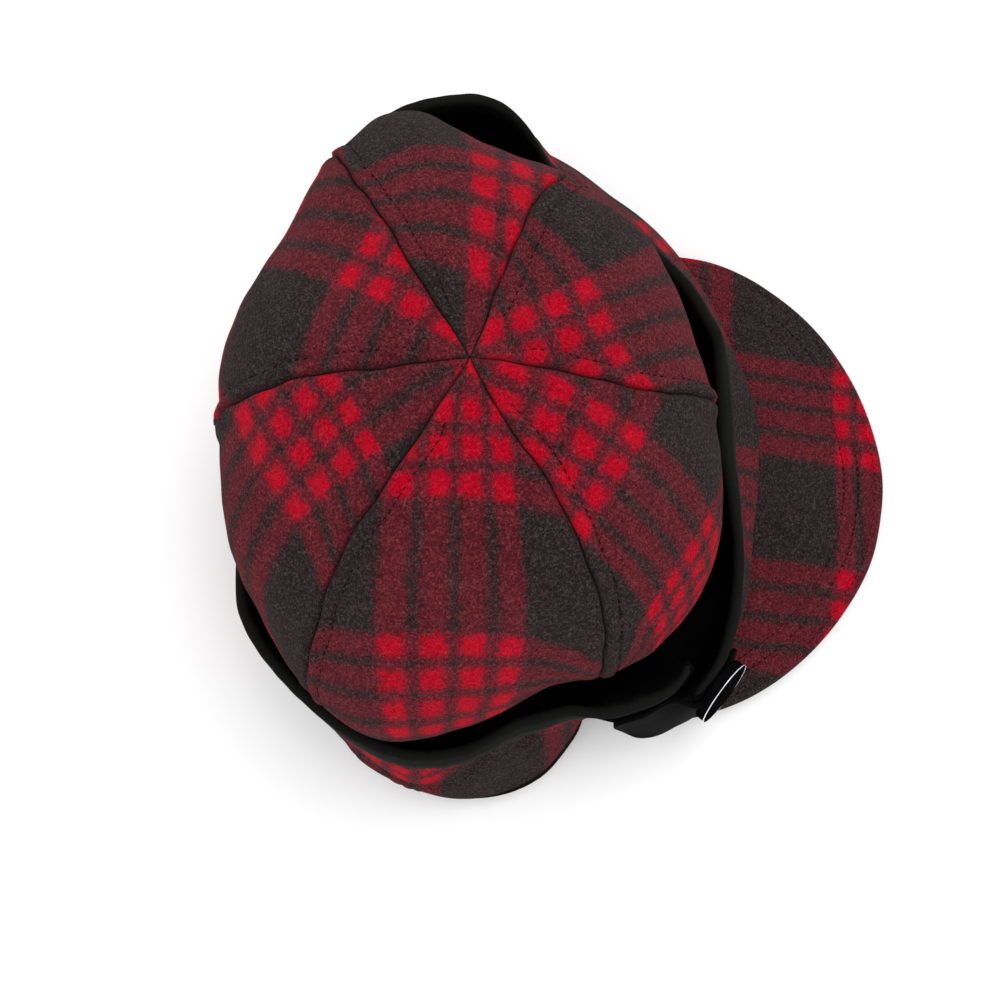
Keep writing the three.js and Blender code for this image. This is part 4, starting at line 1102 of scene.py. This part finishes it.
def dress(obj, material, slot, *nodes):
    """Material and body of a piece, and the CAD nodes that it stands for, if any; its slot is not used."""
    obj.data.materials.append(material)
    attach(obj, "root")
    if nodes:
        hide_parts(*nodes)


seam_stitches = []
for index, name in enumerate(PANEL_NAMES):
    dress(crown_panel(index, name), WOOL, "wool_plaid", f"crown_panel_{name}")
    seam_stitches += [stitch_path(index, side) for side in (0, 1) if STITCHED[index][side]]
dress(stitches("stitches_crown", seam_stitches), THREAD, "wool_plaid")
dress(peak_piece(), WOOL, "wool_plaid", "peak")
dress(stitches("stitches_peak", peak_stitch_paths()), THREAD, "wool_plaid")
for table, name, steps in ((EAR_BAND, "ear_band", 520), (FRONT_BAND, "front_band", 190)):
    wool, lining = band_piece(table, name, steps)
    dress(wool, WOOL, "wool_plaid", name)
    dress(lining, LINING, "lining_black", f"{name}_lining")
    dress(binding_piece(table, name, steps), TAPE, "binding_black", f"{name}_binding")
dress(end_tape(FRONT_BAND, "front", 38.5, 47.2), TAB_CLOTH, "binding_black")
dress(end_tape(EAR_BAND, "ear", 44.2, 63.6), TAB_CLOTH, "binding_black")
dress(peak_end_tape(), TAB_CLOTH, "binding_black")
dress(gutter_lining(FRONT_BAND, "front", -57.8, 44.4, 160), LINING, "lining_black")
dress(gutter_lining(EAR_BAND, "ear", 44.7, 301.8, 380), LINING, "lining_black")
dress(hem_piece(), TAPE, "binding_black", "flap_hem")
dress(tab_piece(), TAB_CLOTH, "tab_black", "side_tab")
snap_dome, snap_ring = snap_pieces()
dress(snap_dome, GLOSS, "snap_black", "snap_cap")
dress(snap_ring, CHROME, "snap_metal", "snap_rim")

FLOOR_REACH = 40.0  # metres
LIGHT_AIM = (0, 0, 0.05)
WORLD_STRENGTH = 0.97
CAMERA_PLACE = (-69.906, -5.597, 372.0)
CAMERA_RIGHT = (0.15643, -0.98769, 0.0)
CAMERA_DOWN = (-0.97808, -0.15491, -0.13917)


def make_floor():
    mesh = bpy.data.meshes.new("floor")
    corners = [(FLOOR_REACH * x, FLOOR_REACH * y, 0) for x, y in ((-1, -1), (1, -1), (1, 1), (-1, 1))]
    mesh.from_pydata(corners, [], [(0, 1, 2, 3)])
    pale = {"Base Color": (0.96, 0.96, 0.96, 1), "Roughness": 1.0, "Specular IOR Level": 0.0}
    mesh.materials.append(Graph("floor_pale").surface(pale))
    floor = add_object("floor", mesh)


def area_light(name, place, size, power):
    light = bpy.data.lights.new(name, "AREA")
    light.size = size
    light.energy = power
    obj = add_object(name, light)
    obj.location = place
    obj.rotation_euler = (Vector(LIGHT_AIM) - Vector(place)).to_track_quat("-Z", "Y").to_euler()


def make_light():
    world = bpy.data.worlds.new("studio")
    world.use_nodes = True
    background = world.node_tree.nodes["Background"]
    background.inputs["Color"].default_value = (1, 1, 1, 1)
    background.inputs["Strength"].default_value = WORLD_STRENGTH
    bpy.context.scene.world = world
    area_light("key", (0.75, -0.35, 1.35), 0.9, 7.5)
    area_light("fill", (-0.8, 0.5, 1.3), 1.1, 2.5)
    bpy.context.scene.view_settings.view_transform = "Standard"
    bpy.context.scene.view_settings.look = "None"


def make_camera():
    data = bpy.data.cameras.new("camera")
    data.lens = 32.4
    data.sensor_width = 36.0
    data.sensor_fit = "HORIZONTAL"
    data.clip_start = 0.01
    data.clip_end = 50
    camera = add_object("camera", data)
    right = Vector(CAMERA_RIGHT).normalized()
    up = -Vector(CAMERA_DOWN).normalized()
    turn = Matrix((right, up, right.cross(up))).transposed()
    place = Vector((np.array(CAMERA_PLACE) + SHIFT) * MM)
    camera.matrix_world = Matrix.Translation(place) @ turn.to_4x4()
    bpy.context.scene.camera = camera


make_floor()
make_light()
make_camera()
bpy.context.view_layer.update()
